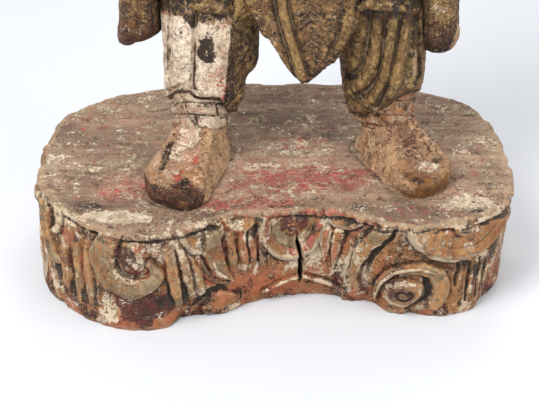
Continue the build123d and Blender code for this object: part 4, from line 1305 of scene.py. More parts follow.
def make_contents():
    low, high = box_mm("dedication_scroll")
    cx, cy = (low[0] + high[0]) / 2, (low[1] + high[1]) / 2
    radius = (high[0] - low[0]) / 2
    tie_heights = [low[2] + rise for rise in (15, 17, 41, 43)]

    def rolled(x, y, z):
        away = np.hypot(x - cx, y - cy)
        tube = np.maximum(away - radius + 0.5, 3.0 - away)
        return np.maximum(tube, np.maximum(low[2] + 0.1 - z, z - high[2] + 0.5))

    def rolled_detail(x, y, z):
        away, turn = np.hypot(x - cx, y - cy), np.arctan2(y - cy, x - cx)
        spiral = ((away + turn * 0.8 / (2 * math.pi)) / 0.8) % 1
        ends = most(step(high[2] - 3, high[2] - 1.5, z), step(low[2] + 3, low[2] + 1.5, z))
        ties = sum(0.5 * np.sqrt(np.clip(1 - ((z - t) / 0.9) ** 2, 0, 1)) * step(radius - 2, radius - 1,
                                                                                 away)
                   for t in tie_heights)
        lap = 0.3 * step(0.0, 0.25, turn) * step(radius - 2, radius - 1, away)
        return -0.9 * step(0.35, 0.1, abs(spiral - 0.5)) * ends + ties + lap + 0.1 * noise(x, y, z * 0.2,
                                                                                           81, 2.0)
    scroll = carve("paper_scroll", "dedication_scroll", low, high, rolled, rolled_detail,
                   0.6)

    def scroll_cover(x, y, z):
        tied = sum(step(1.1, 0.7, abs(z - t)) for t in tie_heights)
        return {"red": tied * step(radius - 1.2, radius - 0.6, np.hypot(x - cx, y - cy))}
    coat(scroll, PAINTS["rolled_paper"], scroll_cover)

    low, high = box_mm("offering_bundle")
    bx, by = (low[0] + high[0]) / 2, (low[1] + high[1]) / 2
    cord = 22.6  # the cord's height on the pouch

    def pouch(x, y, z):
        rows = [(0, 7.5, 7), (3, 10, 9), (10, 10.6, 9.6), (17, 9.4, 8.6), (21.5, 4.2, 4.2),
                (24, 4.4, 4.4), (29.5, 8.0, 7.4)]
        return loft(x, y, z, rows_over(bx, by, rows, low[2]), 2.2)

    def pouch_detail(x, y, z):
        turn, h = np.arctan2(y - by, x - bx), z - low[2]
        gathers = 0.7 * np.sin(turn * 11 + 0.6 * np.sin(h)) * step(11, 19, h)
        knot = 1.2 * np.sqrt(np.clip(1 - ((h - cord) / 1.5) ** 2, 0, 1))
        creases = 0.5 * noise(x * 1.3, y, z * 0.6, 82, 5.0)
        return gathers * step(3, 0, knot * 3) + knot + creases
    bundle = carve("cloth_bundle", "offering_bundle", low, high, pouch, pouch_detail, 0.5)

    def bundle_cover(x, y, z):
        return {"gesso": step(1.9, 1.4, abs(z - low[2] - cord)) + 0 * x}
    coat(bundle, PAINTS["cotton_cloth"], bundle_cover)


# ---------------------------------------------------------------- arms, sleeves and hands
SHOULDER, ELBOW, WRIST, KNUCKLES = (72, 10, 478), (108, 22, 410), (64, -56, 404), (40, -76, 406)


def at(point, side):
    """A point given from the figure's middle, on the named side of it."""
    return np.array((MIDDLE_X + WAY[side] * point[0], point[1], point[2]), float)


def from_wrist(x, y, z, side):
    return np.sqrt(sum((v - w) ** 2 for v, w in zip((x, y, z), at(WRIST, side))))


def make_arm(side):
    low, high = box_mm(f"{side}_arm")
    way = WAY[side]

    def shape(x, y, z):
        arm = chain(x, y, z, [at(SHOULDER, side), at(ELBOW, side), at(WRIST, side)], (27.5, 23.5, 19.5),
                    9.0)
        cuff_axis = at(KNUCKLES, side) - at(WRIST, side)
        cuff_axis = cuff_axis / np.linalg.norm(cuff_axis)
        flare = limb(x, y, z, at(WRIST, side) - cuff_axis * 14, at(WRIST, side) - cuff_axis * 2, 18.5, 21.0)
        reach = sum((v - w) * c for v, w, c in zip((x, y, z), at(WRIST, side), cuff_axis))
        arm = join(arm, flare, 3.0)
        arm = join_max(arm, reach - 3.0, 1.5)
        bore = limb(x, y, z, at(WRIST, side) - cuff_axis * 4, at(WRIST, side) + cuff_axis * 12, 14.0, 15.0)
        return cut(arm, bore, 1.0)

    def detail(x, y, z):
        a = way * (x - MIDDLE_X)
        across = 0.5 * a - 0.9 * (y - 10) * step(470, 430, z) + 0.55 * (z - 400)
        folds = 2.2 * np.sin(across * 0.17 + 1.3 * noise(x, y, z, 91, 36.0))
        cuff = 1.6 * step(14, 10, from_wrist(x, y, z, side) - 12)
        return folds * step(-54, -38, y) + cuff + knifed(x, y, z, 92)
    arm = carve(f"arm_{side}", f"{side}_arm", low - 4, high + 4, shape, detail, 1.3)

    def cover(x, y, z):
        layers = garment_cover(x, y, z)
        near_cuff = step(30, 22, from_wrist(x, y, z, side))
        layers["gold"] = most(layers["gold"], 0.8 * near_cuff)
        layers["dark"] = layers["dark"] * (1 - 0.7 * near_cuff)
        return layers
    coat(arm, PAINTS["coat_lacquer"], cover)


def make_sleeve(side):
    low, high = box_mm(f"{side}_sleeve")
    way = WAY[side]
    shift = {"right": 4.0, "left": -5.0}[side]

    def shape(x, y, z):
        a = way * (x - MIDDLE_X) - shift
        middle = np.interp(z, (188, 308, 410), (123.5, 117, 98)).astype(np.float32)
        middle_y = np.interp(z, (188, 308, 410), (14, 6, -4)).astype(np.float32)
        low_half = {"right": 20.0, "left": 17.0}[side]
        half = np.interp(z, (184, 240, 308, 410), (low_half, 15.5, 13, 12)).astype(np.float32)
        deep = np.interp(z, (188, 240, 308, 410), (28, 35, 41, 45)).astype(np.float32)
        share = (abs((a - middle) / half) ** 2.6 + abs((y - middle_y) / deep) ** 3.0) ** (1 / 2.7)
        body = (share - 1) * half
        if side == "right":
            foot = 192 + 0.30 * (middle + 16 - a) + 0.006 * (a - middle - 8) ** 2
        else:
            foot = 187 + 0.012 * (a - middle - 1) ** 2 + 4.0 * step(4, 18, a - middle)
        foot = foot + 0.010 * (y - middle_y) ** 2
        body = join_max(body, foot - z, 9.0)
        body = join_max(body, z - 412, 6.0)
        hollow = ellipsoid(a, y, z, (middle - 1, middle_y + 3, 186), (10, 21, 26))
        return cut(body, hollow, 3.0)

    def detail(x, y, z):
        sweep = (y + 0.22 * (z - 300) + 9 * noise(x, y, z, 93, 60.0)) * 0.15
        folds = 2.3 * np.sin(sweep) * step(190, 230, z)
        deep = -3.0 * np.clip(1 - abs((sweep / (2 * math.pi) + 0.25) % 1 - 0.5) * 12, 0, 1) * step(200,
                                                                                                   240, z)
        lip = 2.0 * step(216, 211, z) * step(200, 206, z)
        striations = 0.7 * noise(x, y, z * 0.12, 94, 3.0) * step(226, 214, z)
        return folds * 0.8 + deep + lip * 0.6 + striations + knifed(x, y, z, 95)
    sleeve = carve(f"sleeve_{side}", f"{side}_sleeve", low - (5, 5, 6), high + (5, 5, 4),
                   shape, detail, 1.35)

    def cover(x, y, z):
        a = way * (x - MIDDLE_X) - shift
        layers = garment_cover(x, y, z)
        end = step(232, 212, z)
        # the hollow under the sleeve's end is painted dark as painted shade
        inside = step(204, 196, z) * step(14, 9, abs(a - 122.5))
        if side == "right":
            layers["gesso"] = layers["gesso"] * (1 - end) + 0.30 * end
            layers["maroon"] = most(layers["maroon"], 0.62 * end)
            layers["gold"] = layers["gold"] * (1 - 0.8 * end)
            layers["dark"] = most(layers["dark"] * (1 - 0.5 * end), 0.85 * inside)
        else:
            outer = step(8, 14, a - 122.5) * step(224, 206, z)
            layers["pale"] = 0.66 * outer * step(0, -12, y - 14) + 0.2 * end
            layers["gold"] = layers["gold"] * (1 - 0.6 * end)
            layers["maroon"] = most(layers["maroon"], 0.50 * end)
            layers["dark"] = most(layers["dark"], 0.48 * end * (1 - outer), 0.85 * inside)
        return layers
    coat(sleeve, PAINTS["coat_lacquer"], cover)


def make_hand(side):
    low, high = box_mm(f"{side}_hand")
    wrist, knuckles = at(WRIST, side), at(KNUCKLES, side)
    ahead = (knuckles - wrist) / np.linalg.norm(knuckles - wrist)
    outer = np.array((-ahead[1], ahead[0], 0.0)) * -WAY[side]
    outer = outer / np.linalg.norm(outer)
    outer = outer * np.sign(-outer[1])
    up = np.array((0.0, 0.0, 1.0))

    def spot(forward, out, rise):
        return wrist + ahead * forward + outer * out + up * rise

    def shape(x, y, z):
        palm = limb(x, y, z, spot(-10, 0, 0), spot(12, 0, 0), 10.0, 12.5)
        palm = join(palm, limb(x, y, z, spot(16, 1, 6), spot(24, 0, -6), 12.0, 11.0), 5.0)
        for rise in (-12.5, -4.3, 4.1, 12.0):
            reach = 36 if rise in (-4.3, 4.1) else 34
            finger = chain(x, y, z, [spot(22, 6, rise), spot(reach, 5, rise), spot(reach + 1, -5, rise),
                                     spot(24, -8, rise)],
                           (4.9, 4.6, 4.3, 4.0), 1.5)
            palm = join(palm, finger, 0.9)
        thumb = chain(x, y, z, [spot(8, -3, 10), spot(20, -5, 17), spot(31, -3, 17)], (6.0, 5.0, 4.3), 2.0)
        return join(palm, thumb, 1.6)

    def detail(x, y, z):
        return 0.25 * noise(x, y, z, 101, 6.0)
    hand = carve(f"hand_{side}", f"{side}_hand", low - (8, 10, 6), high + (8, 10, 6), shape,
                 detail, 0.8)

    def cover(x, y, z):
        return {"gesso": 0.78 + 0 * x, "salmon": 0.45, "dark": 0.16, "maroon": 0.12}
    coat(hand, PAINTS["skin_gesso"], cover)


# ---------------------------------------------------------------- head and hat
def make_head():
    low, high = box_mm("head")
    chin_z, eye_z, brow_z, nose_z, mouth_z = 533.0, 570.0, 580.0, 553.0, 545.0

    def shape(x, y, z):
        a, f = x - MIDDLE_X, MIDDLE_Y - y
        skull = ellipsoid(a, f, z, (0, -3, 583), (34.5, 39.5, 34))
        face = ellipsoid(a, f, z, (0, 8, 562), (30.5, 31, 35))
        jaw = ellipsoid(a, f, z, (0, 14, 546), (21.5, 22, 16))
        head = join(join(skull, face, 9.0), jaw, 8.0)
        head = join(head, limb(a, f, z, (0, 31, chin_z + 4.5), (0, 30, chin_z + 4), 6.0, 6.0), 7.0)
        head = join(head, limb(a, f, z, (0, -3, 500), (0, -3, 548), 19.5, 19.5), 6.0)
        for way in (-1, 1):
            head = join(head, ellipsoid(a, f, z, (way * 17, 27.0, 556), (10, 8, 9)), 8.0)
            head = join(head, chain(a, f, z, [(way * 4, 37.5, brow_z - 1), (way * 14, 36.5, brow_z + 2.5),
                                              (way * 24, 29.5, brow_z)], (3.2, 3.2, 2.6)), 5.0)
            head = cut(head, ellipsoid(a, f, z, (way * 14.5, 40.5, eye_z), (8.8, 5.0, 5.4)), 4.5)
            eye = ellipsoid(a, f, z, (way * 14.3, 31.0, eye_z + 0.2), (8.0, 6.4, 5.4))
            head = join(head, eye, 1.6)
            ear = ellipsoid(a, f, z, (way * 34.0, -3, 567), (4.2, 8.0, 13.5))
            lobe = ellipsoid(a, f, z, (way * 33.5, -1, 551.5), (3.6, 4.8, 8.0))
            bowl = ellipsoid(a, f, z, (way * 38.5, 0.0, 569), (4.0, 4.6, 8.0))
            head = join(head, cut(join(ear, lobe, 3.0), bowl, 1.5), 2.5)
        nose = chain(a, f, z, [(0, 36.5, brow_z - 3), (0, 40.0, 564), (0, 43.5, nose_z + 3.5)],
                     (3.2, 3.6, 4.8), 3.0)
        for way in (-1, 1):
            nose = join(nose, ellipsoid(a, f, z, (way * 5.6, 38.8, nose_z + 2.2), (3.6, 5.0, 3.6)), 2.0)
        head = join(head, nose, 3.2)
        lips = join(ellipsoid(a, f, z, (0, 36.6, mouth_z + 2.1), (9.2, 4.4, 2.7)),
                    ellipsoid(a, f, z, (0, 36.4, mouth_z - 2.0), (7.8, 4.4, 2.8)), 0.5)
        return join(head, lips, 1.4)

    def detail(x, y, z):
        a, f = x - MIDDLE_X, MIDDLE_Y - y
        front = step(18, 26, f)
        mouth = cut_line(a, z, [(-9.5, mouth_z + 0.9), (-4, mouth_z - 0.1), (0, mouth_z + 0.3),
                                (4, mouth_z - 0.1),
                                (9.5, mouth_z + 0.9)], 2.0, 1.3)
        lids = 0
        for way in (-1, 1):
            lid = [(way * 6.6, eye_z - 0.8), (way * 10, eye_z + 1.6), (way * 15, eye_z + 2.4),
                   (way * 22.3, eye_z + 0.2)]
            lower = [(way * 6.6, eye_z - 0.8), (way * 11, eye_z - 2.2), (way * 16, eye_z - 2.4),
                     (way * 22.3, eye_z + 0.2)]
            crease = [(way * 8, eye_z + 4.2), (way * 15, eye_z + 6.4), (way * 22, eye_z + 4.2)]
            lids = lids + cut_line(a, z, lid, 1.6, 1.0) + cut_line(a, z, lower, 1.5, 0.8)
            lids = lids + raised_line(a, z, [(p[0], p[1] + 1.4) for p in lid], 2.4, 0.7) + cut_line(a, z,
                    crease, 1.8, 0.6)
            nostril = np.hypot(a - way * 3.4, f - 41.0)
            lids = lids - 1.2 * step(2.0, 0.8, nostril) * step(nose_z + 2.0, nose_z, z)
        philtrum = cut_line(a, z, [(0, nose_z - 1.5), (0, mouth_z + 4)], 3.2, 0.7)
        hair = 0.6 * np.sin(np.arctan2(a, -f) * 40) * step(4, -4, f) * step(556, 560, z) * step(30, 33,
                abs(a) + step(-4, -14, f) * 40)
        return (mouth + lids + philtrum) * front + hair + 0.14 * noise(x, y, z, 111, 8.0)
    head = carve("head_carved", "head", (low[0] - 6, low[1] - 5, 502),
                 (high[0] + 6, high[1] + 4, high[2] + 6),
                 shape, detail, 0.75)

    def cover(x, y, z):
        a, f = x - MIDDLE_X, MIDDLE_Y - y
        hair = step(-3, -8, f) * step(554, 558, z) * step(4.0, 1.0, abs(a) - 33.0)
        front = step(18, 26, f)
        lips = front * step(1.1, 0.8, np.hypot(a / 9.5, (z - mouth_z) / 4.6))
        iris, brows = 0, 0
        for way in (-1, 1):
            iris = iris + front * step(1.1, 0.8, np.hypot((a - way * 14.3) / 2.7, (z - eye_z) / 2.1))
            gap, _ = line_gap(a, z, [(way * 6, brow_z + 0.5), (way * 14, brow_z + 4),
                                     (way * 25, brow_z + 0.5)])
            brows = brows + front * step(1.7, 0.9, gap)
        return {"gesso": 0.86 * (1 - hair), "salmon": 0.40 * (1 - hair), "red": 0.72 * lips,
                "dark": most(hair * 0.9, iris, brows * 0.8, 0.08),
                "maroon": 0.10}
    coat(head, PAINTS["skin_gesso"], cover)


def make_hat():
    low, high = box_mm("hat")

    def shape(x, y, z):
        rows = [(-1, 44, 50), (6.5, 46, 52), (10, 41.5, 46.5), (13, 40, 45), (24, 38.5, 43),
                (35, 34.5, 38), (46, 24, 27), (52, 17, 19)]
        dome = loft(x, y, z, rows_over(MIDDLE_X, MIDDLE_Y, rows, low[2]), 2.0)
        inner = ellipsoid(x, y, z, (MIDDLE_X, MIDDLE_Y, low[2] - 3), (34, 41, 9))
        return cut(dome, inner, 1.0)

    def detail(x, y, z):
        h, turn = z - low[2], around(x, y)
        rope = 1.0 * np.sin(turn * 60 + h * 0.9) * step(0, 1.5, h) * step(8.5, 7, h)
        flutes = 1.3 * abs(np.sin(turn * 9)) * step(14, 18, h) * step(50, 44, h)
        band = 1.8 * step(9.5, 11, h) * step(17, 15.5, h)
        plaque = 3.0 * step(10, 8.5, np.hypot((x - MIDDLE_X) * 1.1, (h - 20) * 0.8)) * step(MIDDLE_Y - 20,
                MIDDLE_Y - 30, y)
        return rope + flutes + band + plaque + knifed(x, y, z, 121, depth=0.3)
    hat = carve("hat_carved", "hat", low - (3, 4, 2), high + (3, 3, 4), shape, detail, 1.05)

    def cover(x, y, z):
        h = z - low[2]
        plaque = step(11, 9, np.hypot((x - MIDDLE_X) * 1.1, (h - 20) * 0.8)) * step(MIDDLE_Y - 20,
                                                                                    MIDDLE_Y - 30, y)
        trim = most(step(-2, 0, h) * step(9, 8, h), step(9.5, 10.5, h) * step(17.5, 16.5, h), plaque)
        return {"gold": 0.22 + 0.6 * trim, "dark": 0.78 * (1 - trim) + 0.1, "maroon": 0.4, "orange": 0.2,
                "gesso": 0.14}
    coat(hat, PAINTS["hat_lacquer"], cover)

    low, high = box_mm("hat_finial")

    def bud(x, y, z):
        rows = [(-14, 3.2), (0.2, 3.2), (0.6, 7.2), (2.2, 7.6), (3.6, 4.6), (5.0, 5.4), (8.5, 9.2),
                (13, 9.8), (17, 8.6), (21, 5.0), (23.8, 1.2)]
        base = high[2] - 24.0
        return loft(x, y, z, [(base + r, MIDDLE_X, MIDDLE_Y, half, half) for r, half in rows])

    def bud_detail(x, y, z):
        turn, h = around(x, y), z - (high[2] - 24.0)
        petals = 0.7 * abs(np.sin(turn * 4 + h * 0.12)) * step(5, 9, h) * step(23, 19, h)
        return petals + 0.1 * noise(x, y, z, 131, 3.0)
    finial = carve("finial", "hat_finial", low - 1, high + 1, bud, bud_detail, 0.5)

    def bud_cover(x, y, z):
        return {"gold": 0.74 + 0 * x, "dark": 0.3, "maroon": 0.3, "orange": 0.3, "gesso": 0.1}
    coat(finial, PAINTS["worn_gilding"], bud_cover)


def make_joinery():
    """The tenons, dowels and pegs stay as the CAD has them, in hardwood."""
    hardwood = hardwood_material()
    for node in ("leg_tenons", "hip_dowels", "apron_pegs", "waist_tenon", "shoulder_dowels",
                 "sleeve_pegs", "wrist_dowels",
                 "hat_peg"):
        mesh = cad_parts[node].data
        mesh.materials.clear()
        mesh.materials.append(hardwood)


# ---------------------------------------------------------------- materials
class Nodes:
    """Short names for the shader nodes that the materials are built from."""

    def __init__(self, name):
        self.material = bpy.data.materials.new(name)
        self.material.use_nodes = True
        self.tree = self.material.node_tree
        self.shader = self.tree.nodes["Principled BSDF"]
        self.place = self.add("ShaderNodeTexCoord").outputs["Object"]

    def add(self, kind, inputs=(), **settings):
        node = self.tree.nodes.new(kind)
        for key, value in settings.items():
            setattr(node, key, value)
        for key, value in dict(inputs).items():
            self.wire(value, node.inputs[key])
        return node

    def wire(self, value, socket):
        if isinstance(value, bpy.types.NodeSocket):
            self.tree.links.new(value, socket)
        else:
            socket.default_value = value

    def stretched(self, scale):
        node = self.add("ShaderNodeMapping", {"Vector": self.place})
        node.inputs["Scale"].default_value = scale
        return node.outputs["Vector"]

    def noise(self, scale, detail=4.0, rough=0.55, distortion=0.0, vector=None, offset=0.0):
        place = vector or self.place
        if offset:
            shift = self.add("ShaderNodeVectorMath", {0: place, 1: (offset, offset * 0.7, offset * 1.3)})
            place = shift.outputs[0]
        return self.add("ShaderNodeTexNoise", {"Vector": place, "Scale": scale, "Detail": detail,
                                               "Roughness": rough, "Distortion": distortion}).outputs["Fac"]

    def cells(self, scale, vector):
        """Distance to the edges of irregular cells."""
        node = self.add("ShaderNodeTexVoronoi", {"Vector": vector, "Scale": scale},
                        feature="DISTANCE_TO_EDGE")
        return node.outputs["Distance"]

    def math(self, operation, a, b=0.0, c=0.0):
        return self.add("ShaderNodeMath", {0: a, 1: b, 2: c}, operation=operation).outputs[0]

    def span(self, value, low, high, out_low=0.0, out_high=1.0):
        node = self.add("ShaderNodeMapRange", {"Value": value, "From Min": low, "From Max": high,
                                               "To Min": out_low, "To Max": out_high},
                                               interpolation_type="SMOOTHSTEP")
        return node.outputs["Result"]

    def mix(self, share, a, b):
        node = self.add("ShaderNodeMix", {"Factor": share}, data_type="RGBA")
        colour_inputs = [s for s in node.inputs if s.type == "RGBA"]
        self.wire(a, colour_inputs[0])
        self.wire(b, colour_inputs[1])
        return next(s for s in node.outputs if s.type == "RGBA")

    def number_mix(self, share, a, b):
        """a where share is 0 and b where it is 1, for plain numbers."""
        return self.math("ADD", self.math("MULTIPLY", a, self.math("SUBTRACT", 1.0, share)),
                         self.math("MULTIPLY", b, share))

    def bent(self, vector, scale, reach):
        """The same place, shifted a little this way and that."""
        wander = self.add("ShaderNodeTexNoise", {"Vector": vector, "Scale": scale,
                                                 "Detail": 3.0}).outputs["Color"]
        centred = self.add("ShaderNodeVectorMath", {0: wander, 1: (0.5, 0.5, 0.5)},
                           operation="SUBTRACT").outputs[0]
        shift = self.add("ShaderNodeVectorMath", {0: centred, 1: (reach, reach, reach)},
                         operation="MULTIPLY").outputs[0]
        return self.add("ShaderNodeVectorMath", {0: vector, 1: shift}).outputs[0]

    def attribute(self, name):
        return self.add("ShaderNodeAttribute", attribute_name=name).outputs["Fac"]


def colour(code):
    """A screen colour such as 'A8672F' as the linear colour that shaders use."""
    parts = [int(code[i:i + 2], 16) / 255 for i in (0, 2, 4)]
    return tuple(p / 12.92 if p <= 0.04045 else ((p + 0.055) / 1.055) ** 2.4 for p in parts) + (1.0,)


def flaked(nodes, cover, scale, seed):
    """Where a paint layer is still there: ragged flakes, more of them where cover is higher."""
    broad = nodes.noise(scale * 0.9, 4.0, 0.6, 0.4, offset=seed)
    ragged = nodes.noise(scale * 4.4, 7.0, 0.72, 0.2, offset=seed + 0.9)
    level = nodes.math("ADD", nodes.math("MULTIPLY", broad, 0.8), nodes.math("MULTIPLY", ragged, 1.1))
    level = nodes.math("ADD", level, nodes.math("MULTIPLY_ADD", cover, 0.5, -0.70))
    there = nodes.span(level, 0.47, 0.53)
    return nodes.math("MULTIPLY", there, nodes.span(cover, 0.0, 0.08))


def old_wood(nodes, pale, brown, dark, along="z", scale=1.0):
    """Bare, handled wood: long grain, pores and a darker patina."""
    squeeze = {"z": (1.0, 1.0, 0.08), "x": (0.07, 1.0, 1.0), "y": (1.0, 0.08, 1.0)}[along]
    grain = nodes.noise(260 * scale, 6.0, 0.62, 0.6, nodes.stretched(squeeze))
    broad = nodes.noise(38 * scale, 4.0, 0.55, 0.8, nodes.stretched(squeeze), offset=3.1)
    patina = nodes.noise(30, 5.0, 0.6, 0.2, offset=7.7)
    tone = nodes.mix(nodes.span(broad, 0.36, 0.64), colour(pale), colour(brown))
    tone = nodes.mix(nodes.span(grain, 0.50, 0.74, 0.0, 0.75), tone, colour(dark))
    tone = nodes.mix(nodes.span(patina, 0.45, 0.72, 0.0, 0.55), tone, colour(dark))
    return tone, grain


def painted(name, wood, layers, grime_and_shade=0.7, fine=1.0, crackle=0.0, wash="7A5234", veins=0.0):
    """Old painted wood, with grime and painted shade in its grooves, and wear and a painted highlight on
    its raised edges.

    A layer is (attribute, colour, second colour, flake scale, thickness, roughness, metal).
    """
    nodes = Nodes(name)
    tone, grain = wood(nodes) if callable(wood) else old_wood(nodes, *wood)
    hollow = nodes.attribute("hollow")
    height = nodes.math("MULTIPLY", grain, -0.16)
    roughness, metal = nodes.span(grain, 0.3, 0.7, 0.75, 0.85), 0.0
    cracks = nodes.span(nodes.cells(170 * fine, vector=nodes.stretched((1.0, 1.0, 0.75))), 0.0, 0.045,
                        1.0, 0.0)
    shade = nodes.span(nodes.noise(46 * fine, 6.0, 0.65, 0.3, offset=11.0), 0.36, 0.64)
    worn = nodes.span(nodes.noise(330 * fine, 5.0, 0.65, offset=5.0), 0.54, 0.78, 0.0, 0.5)
    under = colour("4A3626" if callable(wood) else wood[2])
    for attribute, stain, seed in (("soot_and_shadow", "4F4238", 41.0), ("wash", wash, 47.0)):
        thin = nodes.span(nodes.noise(34 * fine, 6.0, 0.66, 0.4, offset=seed), 0.30, 0.62, 0.30, 0.95)
        tone = nodes.mix(nodes.math("MULTIPLY", nodes.attribute(attribute), thin), tone, colour(stain))
    for number, (attribute, first, second, scale, thick, dull, metallic) in enumerate(layers):
        there = flaked(nodes, nodes.attribute(attribute), scale * fine, 1.7 + 2.3 * number)
        skin = nodes.mix(shade, colour(first), colour(second))
        skin = nodes.mix(worn, skin, under)
        if attribute == "gold":
            leaf = nodes.span(nodes.noise(560 * fine, 5.0, 0.7, offset=53.0), 0.55, 0.62, 0.0, 0.8)
            skin = nodes.mix(leaf, skin, colour("E0C68E"))
        if attribute == "gesso" and crackle:
            skin = nodes.mix(nodes.math("MULTIPLY", cracks, crackle), skin, colour("6E5138"))
        tone = nodes.mix(there, tone, skin)
        height = nodes.math("ADD", height, nodes.math("MULTIPLY", there, thick))
        roughness = nodes.number_mix(there, roughness, dull)
        metal = nodes.number_mix(there, metal, metallic) if metallic or not isinstance(metal,
                                                                                       float) else 0.0
    if veins:
        place = nodes.bent(nodes.stretched((0.6, 1.0, 1.0)), 45.0, 0.02)
        lines = nodes.span(nodes.cells(105, vector=place), 0.0, 0.075, 1.0, 0.0)
        lines = nodes.math("MULTIPLY", lines, nodes.span(nodes.noise(52, 4.0, 0.6, offset=59.0), 0.40,
                                                         0.55))
        lines = nodes.math("MULTIPLY", lines, nodes.math("MULTIPLY", nodes.attribute("wash"), veins))
        tone = nodes.mix(lines, tone, colour("CDB595"))
    # painted shade: the grooves are darkened together with grime, and small specks of dirt are added
    smudge = nodes.span(nodes.noise(60 * fine, 4.0, 0.6, offset=31.0), 0.35, 0.6, 0.25, 1.0)
    dirt_and_shade = nodes.math("MULTIPLY", nodes.math("MULTIPLY", nodes.span(hollow, 0.54, 0.80), grime_and_shade), smudge)
    mottle = nodes.noise(95 * fine, 9.0, 0.78, 0.3, offset=29.0)
    tone = nodes.mix(nodes.span(mottle, 0.50, 0.30, 0.0, 0.42), tone, colour("33261C"))
    tone = nodes.mix(nodes.span(mottle, 0.54, 0.74, 0.0, 0.30), tone, colour("D9C4A6"))
    speck = nodes.noise(430 * fine, 4.0, 0.65, offset=23.0)
    dirt_and_shade = nodes.math("MAXIMUM", dirt_and_shade, nodes.span(speck, 0.60, 0.68, 0.0, 0.6))
    tone = nodes.mix(dirt_and_shade, tone, colour("2A2019"))
    # raised edges are lightened: rubbed wear, and a painted highlight
    rubbed_and_highlight = nodes.math("MULTIPLY", nodes.span(hollow, 0.46, 0.28), nodes.math("MULTIPLY", smudge, 0.30))
    tone = nodes.mix(rubbed_and_highlight, tone, colour("C9AC86"))
    height = nodes.math("ADD", height, nodes.math("MULTIPLY", speck, 0.12))
    bump = nodes.add("ShaderNodeBump", {"Height": height, "Strength": 0.9, "Distance": 0.0011})
    nodes.wire(tone, nodes.shader.inputs["Base Color"])
    nodes.wire(roughness, nodes.shader.inputs["Roughness"])
    nodes.wire(metal, nodes.shader.inputs["Metallic"])
    nodes.wire(bump.outputs["Normal"], nodes.shader.inputs["Normal"])
    nodes.shader.inputs["Specular IOR Level"].default_value = 0.3
    return nodes.material


def plinth_material():
    def wood(nodes):
        wall, _ = old_wood(nodes, "B28253", "93623C", "553725")
        top, grain = old_wood(nodes, "A0866D", "836A56", "564436", along="x")
        return nodes.mix(nodes.attribute("upper"), wall, top), grain
    return painted("plinth_paint", wood, grime_and_shade=0.75, wash="B27866", veins=0.85, layers=[
        ("gesso", "D6C2A8", "BCA588", 62, 0.55, 0.9, 0.0),
        ("orange", "A75F40", "A16A48", 80, 0.3, 0.8, 0.0),
        ("ochre", "8E5F38", "754929", 110, 0.15, 0.7, 0.0),
        ("red", "AF5B50", "A3574A", 115, 0.25, 0.78, 0.0),
        ("maroon", "633026", "3F2822", 95, 0.3, 0.7, 0.0),
        ("olive", "96805F", "7B6850", 60, 0.35, 0.82, 0.0),
        ("dark", "2E2620", "453930", 110, 0.2, 0.75, 0.0),
        ("cream", "DCCBB2", "C7B193", 130, 0.4, 0.9, 0.0),
    ])


# paint layers of the figure, from the wood outwards
GESSO = ("gesso", "DCCCB5", "C4AE92", 95, 0.6, 0.85, 0.0)
SALMON = ("salmon", "CDA58E", "B98D74", 130, 0.25, 0.85, 0.0)
ORANGE = ("orange", "A4663E", "AF7D52", 170, 0.3, 0.75, 0.0)
MAROON = ("maroon", "4E2E24", "6B402F", 150, 0.3, 0.6, 0.0)
RED = ("red", "AE4436", "B85A48", 120, 0.3, 0.75, 0.0)
BLACK = ("dark", "241B15", "3A2C21", 135, 0.35, 0.55, 0.0)
GOLD = ("gold", "B8945E", "7D5D36", 230, 0.25, 0.5, 0.2)
OCHRE = ("ochre", "94662F", "714A22", 120, 0.15, 0.6, 0.0)
BARE = ("pale", "CDAB87", "B58D68", 80, 0.1, 0.8, 0.0)


def build_paints():
    brown_wood = ("86623F", "6A4A30", "38281C")
    tan_wood = ("B8926E", "9C7452", "64462F")
    return {
        "shoe_paint": painted("shoe_paint", tan_wood, [GESSO, SALMON, MAROON, OCHRE, RED, BLACK, BARE],
                              grime_and_shade=0.6, wash="6E4D3B"),
        "trouser_gesso": painted("trouser_gesso", ("A98766", "7C5A40", "3F2C20"),
                                 [GESSO, SALMON, MAROON, RED, BLACK, GOLD, BARE], grime_and_shade=0.85, crackle=0.5),
        "trouser_lacquer": painted("trouser_lacquer", brown_wood,
                                   [GESSO, SALMON, ORANGE, MAROON, BLACK, GOLD, BARE], grime_and_shade=0.85),
        "coat_lacquer": painted("coat_lacquer", brown_wood, [GESSO, ORANGE, MAROON, BLACK, GOLD, BARE],
                                grime_and_shade=0.8),
        "worn_gilding": painted("worn_gilding", brown_wood, [GESSO, SALMON, ORANGE, MAROON, BLACK, GOLD],
                                grime_and_shade=0.9),
        "skin_gesso": painted("skin_gesso", ("B08A66", "8A6445", "54392A"),
                              [GESSO, SALMON, MAROON, RED, BLACK], grime_and_shade=0.55,
                              crackle=0.35),
        "hat_lacquer": painted("hat_lacquer", brown_wood, [GESSO, ORANGE, MAROON, BLACK, GOLD], grime_and_shade=0.7),
        "rolled_paper": painted("rolled_paper", ("D8C7A0", "C3AD82", "8E7750"), [RED], grime_and_shade=0.6, fine=2.5),
        "cotton_cloth": painted("cotton_cloth", ("A85645", "8E4337", "5C2A22"), [GESSO], grime_and_shade=0.6,
                                fine=2.5),
    }


def hardwood_material():
    nodes = Nodes("hardwood")
    tone, grain = old_wood(nodes, "9A6A42", "7C4F2E", "4A2E1B")
    bump = nodes.add("ShaderNodeBump", {"Height": grain, "Strength": 0.4, "Distance": 0.0006})
    nodes.wire(tone, nodes.shader.inputs["Base Color"])
    nodes.wire(nodes.span(grain, 0.3, 0.7, 0.45, 0.7), nodes.shader.inputs["Roughness"])
    nodes.wire(bump.outputs["Normal"], nodes.shader.inputs["Normal"])
    return nodes.material


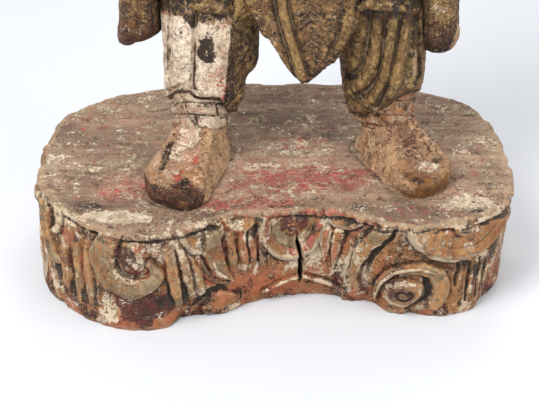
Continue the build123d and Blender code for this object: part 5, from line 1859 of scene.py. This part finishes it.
# ---------------------------------------------------------------- stage
def make_stage():
    floor = bpy.data.meshes.new("floor")
    reach = 12.0
    floor.from_pydata([(-reach, -reach, 0), (reach, -reach, 0), (reach, reach, 0), (-reach, reach, 0)],
                      [], [[0, 1, 2, 3]])
    floor_object = bpy.data.objects.new("floor", floor)
    bpy.context.scene.collection.objects.link(floor_object)
    nodes = Nodes("floor_paper")
    tint = nodes.noise(1.5, 2.0)
    nodes.wire(nodes.mix(tint, colour("DADCE0"), colour("D3D6DB")), nodes.shader.inputs["Base Color"])
    nodes.shader.inputs["Roughness"].default_value = 0.95
    floor.materials.append(nodes.material)

    world = bpy.data.worlds.new("studio")
    world.use_nodes = True
    background = world.node_tree.nodes["Background"]
    background.inputs["Color"].default_value = (0.96, 0.975, 1.0, 1.0)
    background.inputs["Strength"].default_value = 0.60
    bpy.context.scene.world = world

    for name, place, aim, size, power in (
        ("key", (-0.8, -1.0, 1.5), (0.0, 0.0, 0.15), 0.8, 34.0),
        ("fill", (1.3, -0.9, 0.8), (0.0, 0.0, 0.10), 1.2, 14.0),
        ("back", (0.3, 1.3, 1.6), (0.0, 0.0, 0.3), 1.0, 14.0),
    ):
        light = bpy.data.lights.new(name, "AREA")
        light.energy = power
        light.size = size
        lamp = bpy.data.objects.new(name, light)
        bpy.context.scene.collection.objects.link(lamp)
        lamp.location = place
        way = np.array(aim) - np.array(place)
        lamp.rotation_euler = (math.atan2(math.hypot(way[0], way[1]), -way[2]), 0,
                               math.atan2(-way[0], way[1]))


# The camera was picked so that the plinth's outline comes out plausible.
CAMERA_PLACE = (-0.0045, -0.9452, 0.5912)
CAMERA_PITCH = 30  # degrees, looking down
LENS_MM, SENSOR_MM = 82.35, 36.0


def make_camera():
    camera = bpy.data.objects.new("camera", bpy.data.cameras.new("camera"))
    bpy.context.scene.collection.objects.link(camera)
    camera.data.lens = LENS_MM
    camera.data.sensor_width = SENSOR_MM
    camera.location = CAMERA_PLACE
    camera.rotation_euler = (math.radians(90 - CAMERA_PITCH), 0, 0)
    bpy.context.scene.camera = camera
    bpy.context.scene.view_settings.view_transform = "Standard"


PAINTS = build_paints()
make_plinth()
for side in ("right", "left"):
    make_shoe(side)
    make_arm(side)
    make_sleeve(side)
    make_hand(side)
make_legs()
make_coat()
make_torso()
make_contents()
make_head()
make_hat()
make_joinery()
make_stage()
make_camera()
